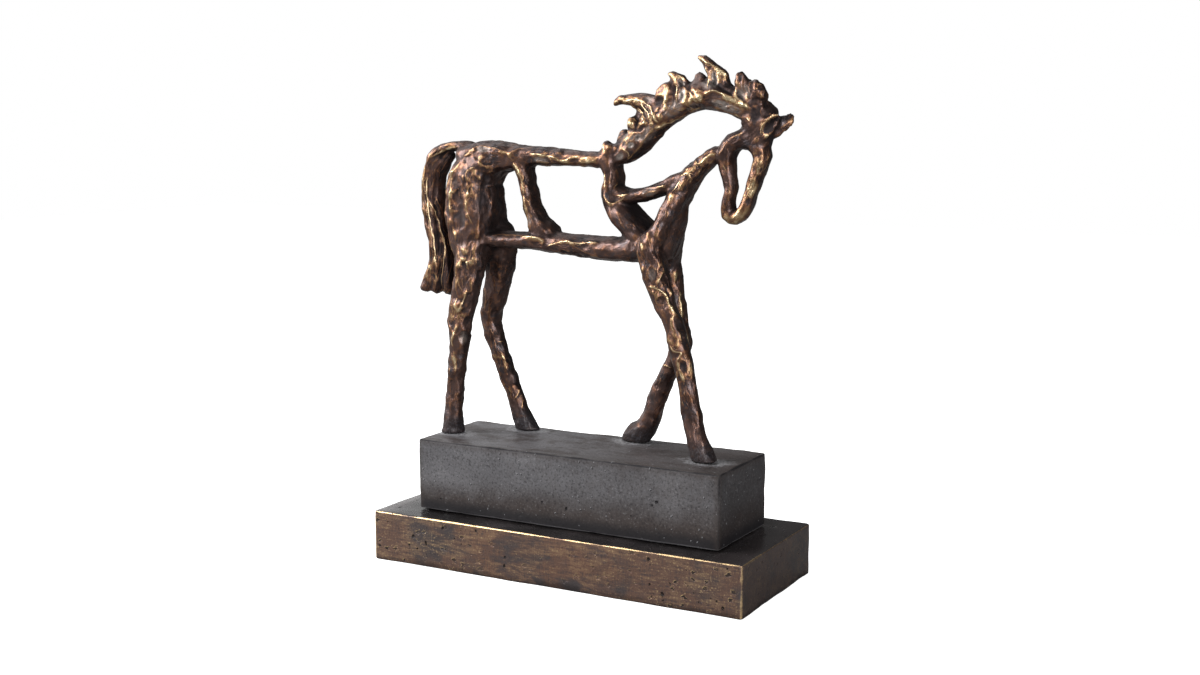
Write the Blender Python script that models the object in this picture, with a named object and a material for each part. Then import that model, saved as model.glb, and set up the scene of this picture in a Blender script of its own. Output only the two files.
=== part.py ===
"""Tabletop sculpture: an openwork cast bronze horse on a stone block and a bronze slab.

The horse faces +X and stands with +Z up, and the origin is the middle of the slab's underside.
Every size below is in millimetres. MM turns them into metres where the meshes are made.
"""

import math
from dataclasses import dataclass

import bmesh
import bpy
from mathutils import Vector

MM = 0.001

Point = tuple[float, float, float]
Girth = tuple[float, float]

# Driving dimensions
SLAB_LENGTH = 380.0
SLAB_WIDTH = 155.5
SLAB_HEIGHT = 47.0
BLOCK_LENGTH = 313.0
BLOCK_WIDTH = 103.0
BLOCK_HEIGHT = 67.7
REST_GAP = 0.3
SLAB_ROUNDING = 3.6
BLOCK_ROUNDING = 2.6
ROUNDING_STEPS = 3

BLOCK_FOOT = SLAB_HEIGHT + REST_GAP
BLOCK_TOP = BLOCK_FOOT + BLOCK_HEIGHT
HORSE_MIDPLANE_Y = 12.0
NEAR_STANCE = -22.0
FAR_STANCE = 25.0

# How finely the casting is laid up and then skinned
RING_SIDES = 20
RING_SPACING = 3.5
CAP_RINGS = 5
SKIN_VOXEL = 1.7
SKIN_SMOOTHING = 3
FACETS_KEPT = 0.06
DENT_SIZE = 9.0
DENT_DEPTH = 2.6

# Girths are (width in the plane of the flow, depth across the horse), from body to ground
NEAR_HIND_GIRTHS: tuple[Girth, ...] = (
    (36, 32),
    (32, 27),
    (28, 23),
    (25.5, 20),
    (20, 18),
    (17.5, 16),
    (17, 16.5),
    (20, 20),
    (26, 22),
)
FAR_HIND_GIRTHS: tuple[Girth, ...] = (
    (36, 32),
    (31, 27),
    (25, 23),
    (20.5, 20),
    (18, 18),
    (17, 16),
    (17, 16.5),
    (20, 20),
    (26, 22),
)
FORE_GIRTHS: tuple[Girth, ...] = (
    (22, 28),
    (24, 25),
    (21, 21),
    (17, 19),
    (19, 19.5),
    (16.5, 16.5),
    (18, 16.5),
    (18.5, 18),
    (22, 22),
)


@dataclass(frozen=True)
class Section:
    """One cross-section of a limb, with y measured from the horse's mid-plane."""

    x: float
    y: float
    z: float
    width: float
    depth: float


@dataclass(frozen=True)
class Limb:
    """A run of sections joined into one rounded member.

    squareness 2 gives elliptical sections and 4 nearly rectangular ones. A cup above 0 hollows the
    side that faces -Y, and one below 0 the side that faces +Y, as in an ear.
    """

    sections: tuple[Section, ...]
    squareness: float = 2.2
    cup: float = 0.0


def limb(*rows: tuple[float, ...], squareness: float = 2.2, cup: float = 0.0) -> Limb:
    """Build a limb from rows of x, y, z, width and depth."""
    return Limb(tuple(Section(*row) for row in rows), squareness, cup)


def leg(joints: tuple[Point, ...], girths: tuple[Girth, ...]) -> Limb:
    """Build a leg from its joints and the girths at them, body to sole."""
    rows = (joint + girth for joint, girth in zip(joints, girths, strict=True))
    return limb(*rows)


def trunk() -> list[Limb]:
    """The haunch, the back and belly bars, and the struts between them."""
    haunch = limb(
        (-128, 0, 296, 40, 54),
        (-128.5, 0, 318, 50, 54),
        (-129, 0, 340, 50, 53),
        (-127, 0, 358, 47, 50),
        (-113, 0, 371, 36, 44),
        (-98, 0, 377, 22, 36),
        squareness=3.2,
    )
    back = limb(
        (-136, 0, 378.5, 20, 36),
        (-119, 0, 380.5, 25, 38),
        (-96, 0, 378.5, 28, 35),
        (-72, 0, 380, 19, 29),
        (-40, 0, 379.5, 16, 26),
        (-8, 0, 377.5, 14, 25),
        (18, 0, 377, 15, 25),
        squareness=2.6,
    )
    belly = limb(
        (-122, 0, 301, 18, 46),
        (-96, 0, 301.5, 15, 38),
        (-54, 0, 301.5, 17, 36),
        (-22, 0, 299.5, 18.5, 36),
        (8, 0, 297.5, 21.5, 37),
        (36, 0, 297.5, 23, 39),
        (60, 0, 300, 26, 40),
        squareness=2.6,
    )
    hip_strut = limb(
        (-77, 0, 378, 18, 28),
        (-70, -2, 358, 12, 25),
        (-65.5, -3, 340, 12.5, 24),
        (-59.5, -3, 324, 15, 26),
        (-55.5, -1, 314, 20.5, 30),
        (-50, 0, 308, 24, 32),
        squareness=2.6,
    )
    shoulder_strut = limb(
        (16, 0, 380, 20, 27),
        (19.5, 2, 362, 13.5, 29),
        (19.5, 1, 346, 17, 31),
        (29, 3, 330, 23, 43),
        (44.5, 4, 315.5, 22, 46),
        (58, 3, 299, 22, 44),
        squareness=2.6,
    )
    return [haunch, back, belly, hip_strut, shoulder_strut]


def forehand() -> list[Limb]:
    """The lower neck bar, the throat and chest, and both shoulders."""
    neck_bar = limb(
        (19, 0, 347, 20, 27),
        (34, 0, 345, 14, 25),
        (48, 0, 346.5, 12.5, 24),
        (66, 0, 351, 12.5, 24),
        (88, 0, 362, 12, 22),
        squareness=2.6,
    )
    throat = limb(
        (122, 0, 383.5, 13, 19),
        (106.5, 0, 372.5, 16.5, 24),
        (94.5, 0, 359, 19, 27),
        (84, 0, 341, 19, 30),
        (79.5, 1, 321, 22, 34),
        (69, 2, 300, 27, 38),
    )
    near_shoulder = limb(
        (86.5, -8, 345, 18, 20),
        (76.5, -13, 321, 17, 22),
        (66, -16, 302, 22, 26),
        (70, -17, 284, 22, 27),
    )
    far_shoulder = limb(
        (80, 8, 330, 17, 24),
        (72.5, 13, 308, 20, 25),
        (67.5, 17, 288, 20, 25),
    )
    return [neck_bar, throat, near_shoulder, far_shoulder]


def legs() -> list[Limb]:
    """Four legs in a walking stride, the far foreleg trailing on the front of its hoof."""
    near_hind = leg(
        (
            (-126, -10, 312),
            (-125, -16, 282),
            (-128.5, -19, 255),
            (-134.5, -21, 228),
            (-135, NEAR_STANCE, 205),
            (-139, NEAR_STANCE, 174),
            (-142, NEAR_STANCE, 140),
            (-143.5, NEAR_STANCE, 122),
            (-144.5, NEAR_STANCE, 108),
        ),
        NEAR_HIND_GIRTHS,
    )
    far_hind = leg(
        (
            (-113, 10, 306),
            (-113.5, 17, 280),
            (-119.5, 21, 252),
            (-128, 23, 224),
            (-123, 24, 200),
            (-112, FAR_STANCE, 171),
            (-99.5, FAR_STANCE, 140),
            (-92, FAR_STANCE, 122),
            (-86, FAR_STANCE, 108),
        ),
        FAR_HIND_GIRTHS,
    )
    near_fore = leg(
        (
            (66, -15, 300),
            (71, -18, 281),
            (80.5, -20, 256),
            (91.5, -21, 234),
            (97.5, NEAR_STANCE, 214),
            (105, NEAR_STANCE, 186),
            (110, NEAR_STANCE, 155),
            (115.5, NEAR_STANCE, 134),
            (126, NEAR_STANCE, 108),
        ),
        FORE_GIRTHS,
    )
    far_fore = leg(
        (
            (64.5, 17, 300),
            (65, 19, 282),
            (70.5, 20, 258),
            (76, 21, 233),
            (78, 22, 209),
            (65.5, 23, 184),
            (53, 24, 158),
            (45, FAR_STANCE, 136),
            (35, 26, 122),
        ),
        FORE_GIRTHS,
    )
    trailing_hoof = limb(
        (44, 25, 132, 13, 16),
        (35, 26, 126, 19, 19),
        (27, 26, 121, 19, 18),
        (23, 26, 112, 16, 17),
    )
    return [near_hind, far_hind, near_fore, far_fore, trailing_hoof]


def tail() -> list[Limb]:
    """Three locks that leave the croup as one arch and part near the bottom."""
    outer = limb(
        (-134, 0, 388, 10, 20),
        (-157, -1, 388, 9, 19),
        (-173.5, -2, 379.5, 10, 17),
        (-181.5, -3, 360, 9, 16),
        (-183, -3, 336, 9, 16),
        (-180, -3, 312, 8, 16),
        (-175, -3, 290, 8, 16),
        (-177.5, -4, 268, 9.5, 17),
        (-183.5, -6, 252, 11, 16),
    )
    middle = limb(
        (-168, 1, 380, 9, 17),
        (-177, 1, 360, 10, 18),
        (-179, 1, 336, 10, 18),
        (-176, 1, 312, 9, 18),
        (-171.5, 0, 290, 9, 18),
        (-172, 0, 268, 9, 19),
        (-174, 0, 250, 8, 18),
    )
    inner = limb(
        (-161, 4, 378, 9, 15),
        (-172, 5, 358, 9, 15),
        (-174, 5, 336, 9, 15),
        (-171, 5, 312, 9, 15),
        (-165.5, 5, 290, 10, 16),
        (-163, 4, 268, 12, 18),
        (-163, 4, 251, 13, 18),
    )
    return [outer, middle, inner]


def neck_and_mane() -> list[Limb]:
    """The crest with its wind-blown locks, three of them long and hooked."""
    crest = limb(
        (12, 0, 379, 13, 21),
        (34, 0, 385, 22, 23),
        (52, 0, 400, 26, 24),
        (68, 0, 416, 26, 24),
        (90, 0, 430, 26, 24),
        (114, 0, 434, 24.5, 24),
        (136, 0, 429.5, 25, 23),
        (153, 0, 423, 24, 22),
    )
    poll = limb(
        (156, 0, 432, 16, 20),
        (158.5, 0, 414, 27, 22),
        (160, 0, 396, 26, 21),
    )
    low_spike = limb(
        (66, 1, 422, 21, 18),
        (50, 2, 428.5, 17, 16),
        (36, 2, 431, 11, 12),
        (26, 1, 430, 8.5, 9),
        (21.5, 0, 427.5, 5.5, 6),
    )
    middle_spike = limb(
        (88, -1, 434, 18, 16),
        (87, -2, 445, 14, 13),
        (81, -3, 451.5, 9, 9),
        (75.5, -3, 453, 4.5, 6),
    )
    tall_spike = limb(
        (124, 1, 436, 24, 18),
        (122, 1, 448, 19, 15),
        (116, 0, 457, 12, 12),
        (109, 0, 464, 8, 8),
        (104, 0, 467.2, 5, 6),
    )
    return [crest, poll, low_spike, middle_spike, tall_spike] + mane_knots()


def mane_knots() -> list[Limb]:
    """Short knots of hair along the crest, leaning to one side and the other in turn."""
    lean = 3.5
    tops = (
        (17, 386.5, 14),
        (29.5, 395.5, 16),
        (43, 407, 15),
        (47, 417, 12),
        (76, 437, 15),
        (104, 445, 14),
        (147, 444, 13.5),
        (152, 436, 13),
        (160, 439.5, 12),
        (168, 420, 14),
        (70, 433, 13),
    )
    knots = []
    for index, (x, z, size) in enumerate(tops):
        side = lean if index % 2 else -lean
        knots.append(
            limb(
                (x + 0.3 * size, 0.3 * side, z - 0.5 * size, 0.9 * size, 17),
                (x, side, z, size, 15),
                (x - 0.1 * size, 1.2 * side, z + 0.3 * size, 0.7 * size, 10),
            )
        )
    return knots


def head() -> list[Limb]:
    """The head as one open loop: forehead, nose, muzzle, jaw and cheek, with two cupped ears."""
    loop = limb(
        (144, 0, 397, 16, 19),
        (157.5, 0, 394, 17, 20),
        (164.5, 0, 382, 15.5, 19),
        (160.5, 0, 368, 13, 18),
        (155, 0, 353, 11.5, 17),
        (150.5, 0, 338, 11, 17),
        (141.5, 0, 328.5, 11.5, 17),
        (133.5, 0, 331, 12, 17),
        (133.5, 0, 343, 11, 17),
        (136, 0, 355, 11.5, 17),
        (133.5, 0, 367, 13.5, 18),
        (131, 0, 380, 16, 19),
        (134.5, 0, 391, 16, 19),
        (144, 0, 397, 16, 19),
        squareness=2.6,
    )
    near_ear = limb(
        (162, -8, 398, 10, 9),
        (169, -11, 404, 15, 9),
        (177, -12, 411.5, 15, 8),
        (182, -13, 416, 8, 6),
        squareness=2.0,
        cup=0.4,
    )
    far_ear = limb(
        (166, 8, 399, 11, 9),
        (175, 10, 406.5, 15.5, 9),
        (182, 12, 412.5, 15, 8),
        (185.5, 14, 416.5, 10, 5),
        squareness=2.0,
        cup=-0.4,
    )
    return [loop, near_ear, far_ear]


def spline(values: list[float], index: int, share: float) -> float:
    """Catmull-Rom value between values[index] and the next one."""
    last = len(values) - 1
    before = values[max(index - 1, 0)]
    here = values[index]
    after = values[index + 1]
    beyond = values[min(index + 2, last)]
    linear = after - before
    square = 2.0 * before - 5.0 * here + 4.0 * after - beyond
    cubic = 3.0 * (here - after) + beyond - before
    return here + 0.5 * share * (linear + share * (square + share * cubic))


def smooth_run(sections: tuple[Section, ...]) -> list[Section]:
    """Fill a limb's sections in to one every RING_SPACING along a smooth curve."""
    columns = [[getattr(s, name) for s in sections] for name in ("x", "y", "z", "width", "depth")]
    run = []
    for index in range(len(sections) - 1):
        here = Vector([column[index] for column in columns[:3]])
        after = Vector([column[index + 1] for column in columns[:3]])
        steps = max(2, round((after - here).length / RING_SPACING))
        for step in range(steps):
            run.append(Section(*(spline(column, index, step / steps) for column in columns)))
    run.append(sections[-1])
    return run


def frame_at(run: list[Section], index: int) -> tuple[Vector, Vector, Vector]:
    """The flow, width and depth directions of one section of a run."""
    ahead = run[min(index + 1, len(run) - 1)]
    behind = run[max(index - 1, 0)]
    flow = Vector((ahead.x - behind.x, ahead.y - behind.y, ahead.z - behind.z)).normalized()
    depth = (Vector((0.0, 1.0, 0.0)) - flow * flow.y).normalized()
    return flow, depth.cross(flow), depth


def profile(squareness: float, cup: float) -> list[tuple[float, float]]:
    """Unit outline of a section, as width and depth shares from -1 to 1."""
    outline = []
    for side in range(RING_SIDES):
        angle = math.tau * side / RING_SIDES
        across = math.copysign(abs(math.cos(angle)) ** (2.0 / squareness), math.cos(angle))
        deep = math.copysign(abs(math.sin(angle)) ** (2.0 / squareness), math.sin(angle))
        if deep * cup < 0.0:
            deep = (1.0 - abs(across)) * cup
        outline.append((across, deep))
    return outline


def add_limb(mesh: bmesh.types.BMesh, shape: Limb) -> None:
    """Sweep a limb's profile along its run as one closed tube with domed ends."""
    run = smooth_run(shape.sections)
    outline = profile(shape.squareness, shape.cup)
    stack = []
    for step in range(CAP_RINGS, 0, -1):
        stack.append((0, -math.sin(0.5 * math.pi * step / (CAP_RINGS + 1))))
    stack += [(index, 0.0) for index in range(len(run))]
    for step in range(1, CAP_RINGS + 1):
        stack.append((len(run) - 1, math.sin(0.5 * math.pi * step / (CAP_RINGS + 1))))
    rings = []
    for index, bulge in stack:
        section = run[index]
        flow, wide, deep = frame_at(run, index)
        reach = 0.5 * min(section.width, section.depth)
        centre = Vector((section.x, section.y, section.z)) + flow * bulge * reach
        shrink = math.sqrt(1.0 - bulge * bulge)
        half_width = 0.5 * shrink * section.width
        half_depth = 0.5 * shrink * section.depth
        ring = []
        for across, inward in outline:
            offset = wide * across * half_width + deep * inward * half_depth
            ring.append(mesh.verts.new((centre + offset) * MM))
        rings.append(ring)
    for ring, following in zip(rings, rings[1:]):
        for side in range(RING_SIDES):
            after = (side + 1) % RING_SIDES
            mesh.faces.new((ring[side], ring[after], following[after], following[side]))
    mesh.faces.new(list(reversed(rings[0])))
    mesh.faces.new(rings[-1])


def material(name: str, colour: Point, roughness: float, metallic: float) -> bpy.types.Material:
    """A plain Principled material."""
    made = bpy.data.materials.new(name)
    made.use_nodes = True
    shader = made.node_tree.nodes["Principled BSDF"]
    shader.inputs["Base Color"].default_value = (*colour, 1.0)
    shader.inputs["Roughness"].default_value = roughness
    shader.inputs["Metallic"].default_value = metallic
    return made


def add_object(name: str, mesh: bmesh.types.BMesh, finish: bpy.types.Material) -> bpy.types.Object:
    """Turn a bmesh into a named object with its own material."""
    bmesh.ops.recalc_face_normals(mesh, faces=mesh.faces[:])
    data = bpy.data.meshes.new(name)
    mesh.to_mesh(data)
    mesh.free()
    data.materials.append(finish)
    made = bpy.data.objects.new(name, data)
    bpy.context.scene.collection.objects.link(made)
    return made


def box(size: Point, foot: float) -> bmesh.types.BMesh:
    """A box of this size standing at height foot over the origin."""
    mesh = bmesh.new()
    bmesh.ops.create_cube(mesh, size=1.0)
    length, width, height = size
    for vertex in mesh.verts:
        vertex.co.x *= length * MM
        vertex.co.y *= width * MM
        vertex.co.z = (foot + height * (vertex.co.z + 0.5)) * MM
    return mesh


def rounded_box(name: str, size: Point, foot: float, rounding: float, finish: bpy.types.Material) -> None:
    """A solid block whose edges are softly rounded."""
    made = add_object(name, box(size, foot), finish)
    bevel = made.modifiers.new("rounded_edges", "BEVEL")
    bevel.width = rounding * MM
    bevel.segments = ROUNDING_STEPS
    made.data.shade_smooth()
    made.data.set_sharp_from_angle(angle=math.radians(40))


def build_base() -> None:
    """The bronze slab with the stone block on it."""
    bronze = material("aged_bronze_slab", (0.10, 0.065, 0.035), 0.42, 0.85)
    stone = material("charcoal_block", (0.045, 0.045, 0.048), 0.72, 0.0)
    slab_size = (SLAB_LENGTH, SLAB_WIDTH, SLAB_HEIGHT)
    block_size = (BLOCK_LENGTH, BLOCK_WIDTH, BLOCK_HEIGHT)
    rounded_box("base_slab", slab_size, 0.0, SLAB_ROUNDING, bronze)
    rounded_box("plinth_block", block_size, BLOCK_FOOT, BLOCK_ROUNDING, stone)


def build_horse() -> None:
    """The horse as one casting: all limbs laid up together, skinned over and cut flat at the soles."""
    bronze = material("cast_bronze_horse", (0.13, 0.07, 0.045), 0.38, 0.9)
    mesh = bmesh.new()
    for shape in trunk() + forehand() + legs() + tail() + neck_and_mane() + head():
        add_limb(mesh, shape)
    horse = add_object("horse", mesh, bronze)
    horse.location.y = HORSE_MIDPLANE_Y * MM

    skin = horse.modifiers.new("one_skin", "REMESH")
    skin.mode = "VOXEL"
    skin.voxel_size = SKIN_VOXEL * MM
    dents = horse.modifiers.new("hand_pressed_dents", "DISPLACE")
    dents.texture = dent_texture()
    dents.texture_coords = "LOCAL"
    dents.strength = DENT_DEPTH * MM
    dents.mid_level = 0.5
    soften = horse.modifiers.new("soften", "SMOOTH")
    soften.factor = 0.5
    soften.iterations = SKIN_SMOOTHING
    facets = horse.modifiers.new("facets", "DECIMATE")
    facets.ratio = FACETS_KEPT
    soles = horse.modifiers.new("flat_soles", "BOOLEAN")
    soles.operation = "DIFFERENCE"
    soles.solver = "EXACT"
    soles.object = sole_cutter()


def dent_texture() -> bpy.types.Texture:
    """Soft lumps and hollows of about a fingertip's size."""
    dents = bpy.data.textures.new("dents", "CLOUDS")
    dents.noise_scale = DENT_SIZE * MM
    dents.noise_depth = 1
    return dents


def sole_cutter() -> bpy.types.Object:
    """A hidden block whose top is the plane that the hooves stand on."""
    overhang = 40.0
    top = BLOCK_TOP + REST_GAP
    size = (BLOCK_LENGTH + overhang, BLOCK_WIDTH + overhang, overhang)
    plain = material("cutter", (0.5, 0.5, 0.5), 1.0, 0.0)
    cutter = add_object("sole_cutter", box(size, top - overhang), plain)
    cutter.hide_render = True
    cutter.display_type = "WIRE"
    return cutter


def main() -> None:
    """Clear the scene and build the sculpture."""
    for leftover in list(bpy.data.objects):
        bpy.data.objects.remove(leftover, do_unlink=True)
    build_base()
    build_horse()


main()
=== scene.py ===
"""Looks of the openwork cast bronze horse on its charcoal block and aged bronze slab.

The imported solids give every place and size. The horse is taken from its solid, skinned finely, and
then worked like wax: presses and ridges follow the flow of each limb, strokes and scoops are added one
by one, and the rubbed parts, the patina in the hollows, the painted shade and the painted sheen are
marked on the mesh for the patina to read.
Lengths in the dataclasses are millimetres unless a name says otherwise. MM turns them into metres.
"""

import logging
import math
from dataclasses import dataclass, field
from enum import Enum

import bpy
import numpy as np
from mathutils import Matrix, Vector, noise
from mathutils.bvhtree import BVHTree
from mathutils.interpolate import poly_3d_calc


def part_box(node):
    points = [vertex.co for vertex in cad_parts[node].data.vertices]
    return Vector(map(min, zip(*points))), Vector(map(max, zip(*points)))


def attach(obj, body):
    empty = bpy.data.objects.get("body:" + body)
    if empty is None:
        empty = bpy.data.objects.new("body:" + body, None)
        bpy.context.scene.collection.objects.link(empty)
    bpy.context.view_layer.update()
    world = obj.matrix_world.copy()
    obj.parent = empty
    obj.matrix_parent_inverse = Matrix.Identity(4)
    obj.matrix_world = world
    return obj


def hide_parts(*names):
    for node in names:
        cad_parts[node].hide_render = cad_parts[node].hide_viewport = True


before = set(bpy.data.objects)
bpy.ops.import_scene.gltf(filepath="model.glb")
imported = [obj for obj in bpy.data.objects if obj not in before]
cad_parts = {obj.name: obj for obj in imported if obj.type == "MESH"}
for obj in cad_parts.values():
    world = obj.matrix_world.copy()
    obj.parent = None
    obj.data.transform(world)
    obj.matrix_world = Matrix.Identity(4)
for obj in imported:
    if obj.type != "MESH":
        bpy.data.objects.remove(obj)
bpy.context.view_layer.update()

LOG = logging.getLogger("horse_sculpture")
MM = 0.001
MERGE_WITHIN = 0.01 * MM
NO_LINE = 9.0  # stands for no drawn line near a vertex, in millimetres
FLOW_STEP = np.array([37.0, 0.0, 0.0])  # sets each flow's pattern apart from the next one's, in millimetres

Point = tuple[float, float, float]
Colour = tuple[float, float, float]


# ---- Shader expressions ----


class Signal:
    """One output socket. Arithmetic on it adds Math nodes, so shader maths reads as Python."""

    def __init__(self, graph: "Graph", socket: bpy.types.NodeSocket) -> None:
        """Wrap a socket of a graph."""
        self.graph = graph
        self.socket = socket

    def math(self, operation: str, *others: "Signal | float", clamp: bool = False) -> "Signal":
        """Add a Math node that starts with this value.

        Args:
            operation: The Math node's operation.
            others: The second and third inputs.
            clamp: Keep the result from 0 to 1.

        Returns:
            The node's result.
        """
        inputs = {index: value for index, value in enumerate((self, *others))}
        settings = {"operation": operation, "use_clamp": clamp}
        return self.graph.out("ShaderNodeMath", settings, inputs)

    def __add__(self, other: "Signal | float") -> "Signal":
        """Sum."""
        return self.math("ADD", other)

    def __radd__(self, other: float) -> "Signal":
        """Sum with a number on the left."""
        return self.math("ADD", other)

    def __sub__(self, other: "Signal | float") -> "Signal":
        """Difference."""
        return self.math("SUBTRACT", other)

    def __rsub__(self, other: float) -> "Signal":
        """Difference from a number on the left."""
        return self.math("MULTIPLY_ADD", -1.0, other)

    def __mul__(self, other: "Signal | float") -> "Signal":
        """Product."""
        return self.math("MULTIPLY", other)

    def __rmul__(self, other: float) -> "Signal":
        """Product with a number on the left."""
        return self.math("MULTIPLY", other)

    def __truediv__(self, other: "Signal | float") -> "Signal":
        """Quotient."""
        return self.math("DIVIDE", other)

    def __pow__(self, other: float) -> "Signal":
        """Power."""
        return self.math("POWER", other)

    def __abs__(self) -> "Signal":
        """Size without its sign."""
        return self.math("ABSOLUTE")

    def clamped(self) -> "Signal":
        """The value kept from 0 to 1."""
        return self.math("ADD", 0.0, clamp=True)

    def larger(self, other: "Signal | float") -> "Signal":
        """The larger of two values."""
        return self.math("MAXIMUM", other)

    def rise(self, low: float, high: float) -> "Signal":
        """Go smoothly from 0 at low to 1 at high; high may be the smaller number.

        Args:
            low: Where the result is 0.
            high: Where the result is 1.

        Returns:
            The eased step.
        """
        settings = {"interpolation_type": "SMOOTHSTEP", "clamp": True}
        if low < high:
            inputs = {"Value": self, "From Min": low, "From Max": high, "To Min": 0.0, "To Max": 1.0}
        else:
            inputs = {"Value": self, "From Min": high, "From Max": low, "To Min": 1.0, "To Max": 0.0}
        return self.graph.out("ShaderNodeMapRange", settings, inputs)


class Graph:
    """The node tree of a material or a world, and the one way in which nodes are added to it."""

    def __init__(self, owner: bpy.types.Material | bpy.types.World) -> None:
        """Start with an empty tree.

        Args:
            owner: The new material or world.
        """
        owner.use_nodes = True
        self.owner = owner
        self.tree = owner.node_tree
        self.tree.nodes.clear()

    def node(self, kind: str, settings: dict | None = None, inputs: dict | None = None) -> bpy.types.Node:
        """Add a node.

        Args:
            kind: The node's type.
            settings: Its settings, which are set first.
            inputs: Its sockets by name or number, each a Signal, a number, a colour or a vector.

        Returns:
            The node.
        """
        made = self.tree.nodes.new(kind)
        for key, value in (settings or {}).items():
            setattr(made, key, value)
        for key, value in (inputs or {}).items():
            if isinstance(value, Signal):
                self.tree.links.new(value.socket, made.inputs[key])
            elif isinstance(value, tuple) and made.inputs[key].type == "RGBA":
                made.inputs[key].default_value = (*value, 1.0)
            else:
                made.inputs[key].default_value = value
        return made

    def out(
        self, kind: str, settings: dict | None = None, inputs: dict | None = None, output: str | int = 0
    ) -> Signal:
        """Add a node and give one of its outputs as a signal."""
        return Signal(self, self.node(kind, settings, inputs).outputs[output])

    def painted(self, name: str, output: str) -> Signal:
        """Something painted on the mesh."""
        settings = {"attribute_type": "GEOMETRY", "attribute_name": name}
        return self.out("ShaderNodeAttribute", settings, output=output)

    def marked(self, name: str) -> Signal:
        """A number painted on the mesh."""
        return self.painted(name, "Fac")

    def drawn_along(self, name: str, scale: Point) -> Signal:
        """A place painted on the mesh, in metres, scaled."""
        return self.vector("MULTIPLY", self.painted(name, "Vector"), scale)

    def vector(self, operation: str, one: Signal, other: Signal | Point) -> Signal:
        """The vector that a Vector Math node makes of two."""
        return self.out("ShaderNodeVectorMath", {"operation": operation}, {0: one, 1: other})

    def place(self, scale: Point = (1.0, 1.0, 1.0), offset: Point = (0.0, 0.0, 0.0)) -> Signal:
        """The object's own coordinates, in metres, scaled after an offset."""
        moved = self.vector("ADD", self.out("ShaderNodeTexCoord", output="Object"), offset)
        return self.vector("MULTIPLY", moved, scale)

    def axes(self, vector: Signal) -> tuple[Signal, Signal, Signal]:
        """A vector's three numbers."""
        split = self.node("ShaderNodeSeparateXYZ", None, {0: vector})
        return tuple(Signal(self, split.outputs[index]) for index in range(3))

    def noise(
        self, vector: Signal, size: float, detail: float = 2.0, rough: float = 0.5, warp: float = 0.0
    ) -> Signal:
        """Soft noise.

        Args:
            vector: Where to look.
            size: How far across its lumps are, in metres.
            detail: How many finer layers it has.
            rough: How strong each finer layer is.
            warp: How far the lumps are twisted.

        Returns:
            The noise, from 0 to 1.
        """
        inputs = {
            "Vector": vector,
            "Scale": 1.0 / size,
            "Detail": detail,
            "Roughness": rough,
            "Distortion": warp,
        }
        return self.out("ShaderNodeTexNoise", {"normalize": True}, inputs)

    def spots(self, vector: Signal, apart: float, share: float, reach: float, ragged: float = 0.45) -> Signal:
        """Scattered uneven spots.

        Args:
            vector: Where to look.
            apart: The distance between places for a spot, in metres.
            share: How many of the places hold one, from 0 to 1.
            reach: The largest spot's radius, as a share of apart.
            ragged: How far their outlines wander, as a share of apart.

        Returns:
            0 outside the spots, rising to 1 in their middles.
        """
        shift = self.out("ShaderNodeTexNoise", None, {"Vector": vector, "Scale": 3.0 / apart}, "Color")
        pushed = self.vector("MULTIPLY", self.vector("SUBTRACT", shift, (0.5,) * 3), (ragged * apart,) * 3)
        moved = self.vector("ADD", vector, pushed)
        cells = self.node("ShaderNodeTexVoronoi", None, {"Vector": moved, "Scale": 1.0 / apart})
        chosen, size, _ = self.axes(Signal(self, cells.outputs["Color"]))
        radius = (0.35 + size * 0.65) * reach
        edge = Signal(self, cells.outputs["Distance"]) / radius
        return edge.rise(1.0, 0.55) * chosen.rise(1.0 - share, 1.02 - share)

    def mix(self, share: Signal | float, low: Signal | Colour, high: Signal | Colour) -> Signal:
        """A colour between two.

        Args:
            share: How much of the second colour there is, from 0 to 1.
            low: The first colour.
            high: The second colour.

        Returns:
            The colour.
        """
        made = self.node("ShaderNodeMix", {"data_type": "RGBA", "clamp_factor": True}, {0: share})
        for socket, value in ((made.inputs[6], low), (made.inputs[7], high)):
            if isinstance(value, Signal):
                self.tree.links.new(value.socket, socket)
            else:
                socket.default_value = (*value, 1.0)
        return Signal(self, made.outputs[2])

    def layered(self, base: Signal | Colour, *coats: tuple[Signal | float, Signal | Colour]) -> Signal:
        """Lay colours over one another.

        Args:
            base: The lowest colour.
            coats: For each coat how much it covers, from 0 to 1, and its colour.

        Returns:
            The colour that shows.
        """
        for share, coat in coats:
            base = self.mix(share, base, coat)
        return base

    def bumps(self, *layers: tuple[Signal, float, float]) -> Signal:
        """Chain Bump nodes.

        Args:
            layers: For each layer its height, its strength and its depth in metres.

        Returns:
            The normal.
        """
        normal = None
        for height, strength, depth in layers:
            inputs = {"Strength": strength, "Distance": depth, "Height": height}
            if normal is not None:
                inputs["Normal"] = normal
            normal = self.out("ShaderNodeBump", None, inputs)
        return normal

    def finish(self, inputs: dict) -> bpy.types.Material:
        """Close the material with one Principled shader.

        Args:
            inputs: The shader's sockets by name.

        Returns:
            The material.
        """
        shader = self.out("ShaderNodeBsdfPrincipled", None, inputs)
        self.node("ShaderNodeOutputMaterial", None, {"Surface": shader})
        return self.owner


# ---- Finishes ----


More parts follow.
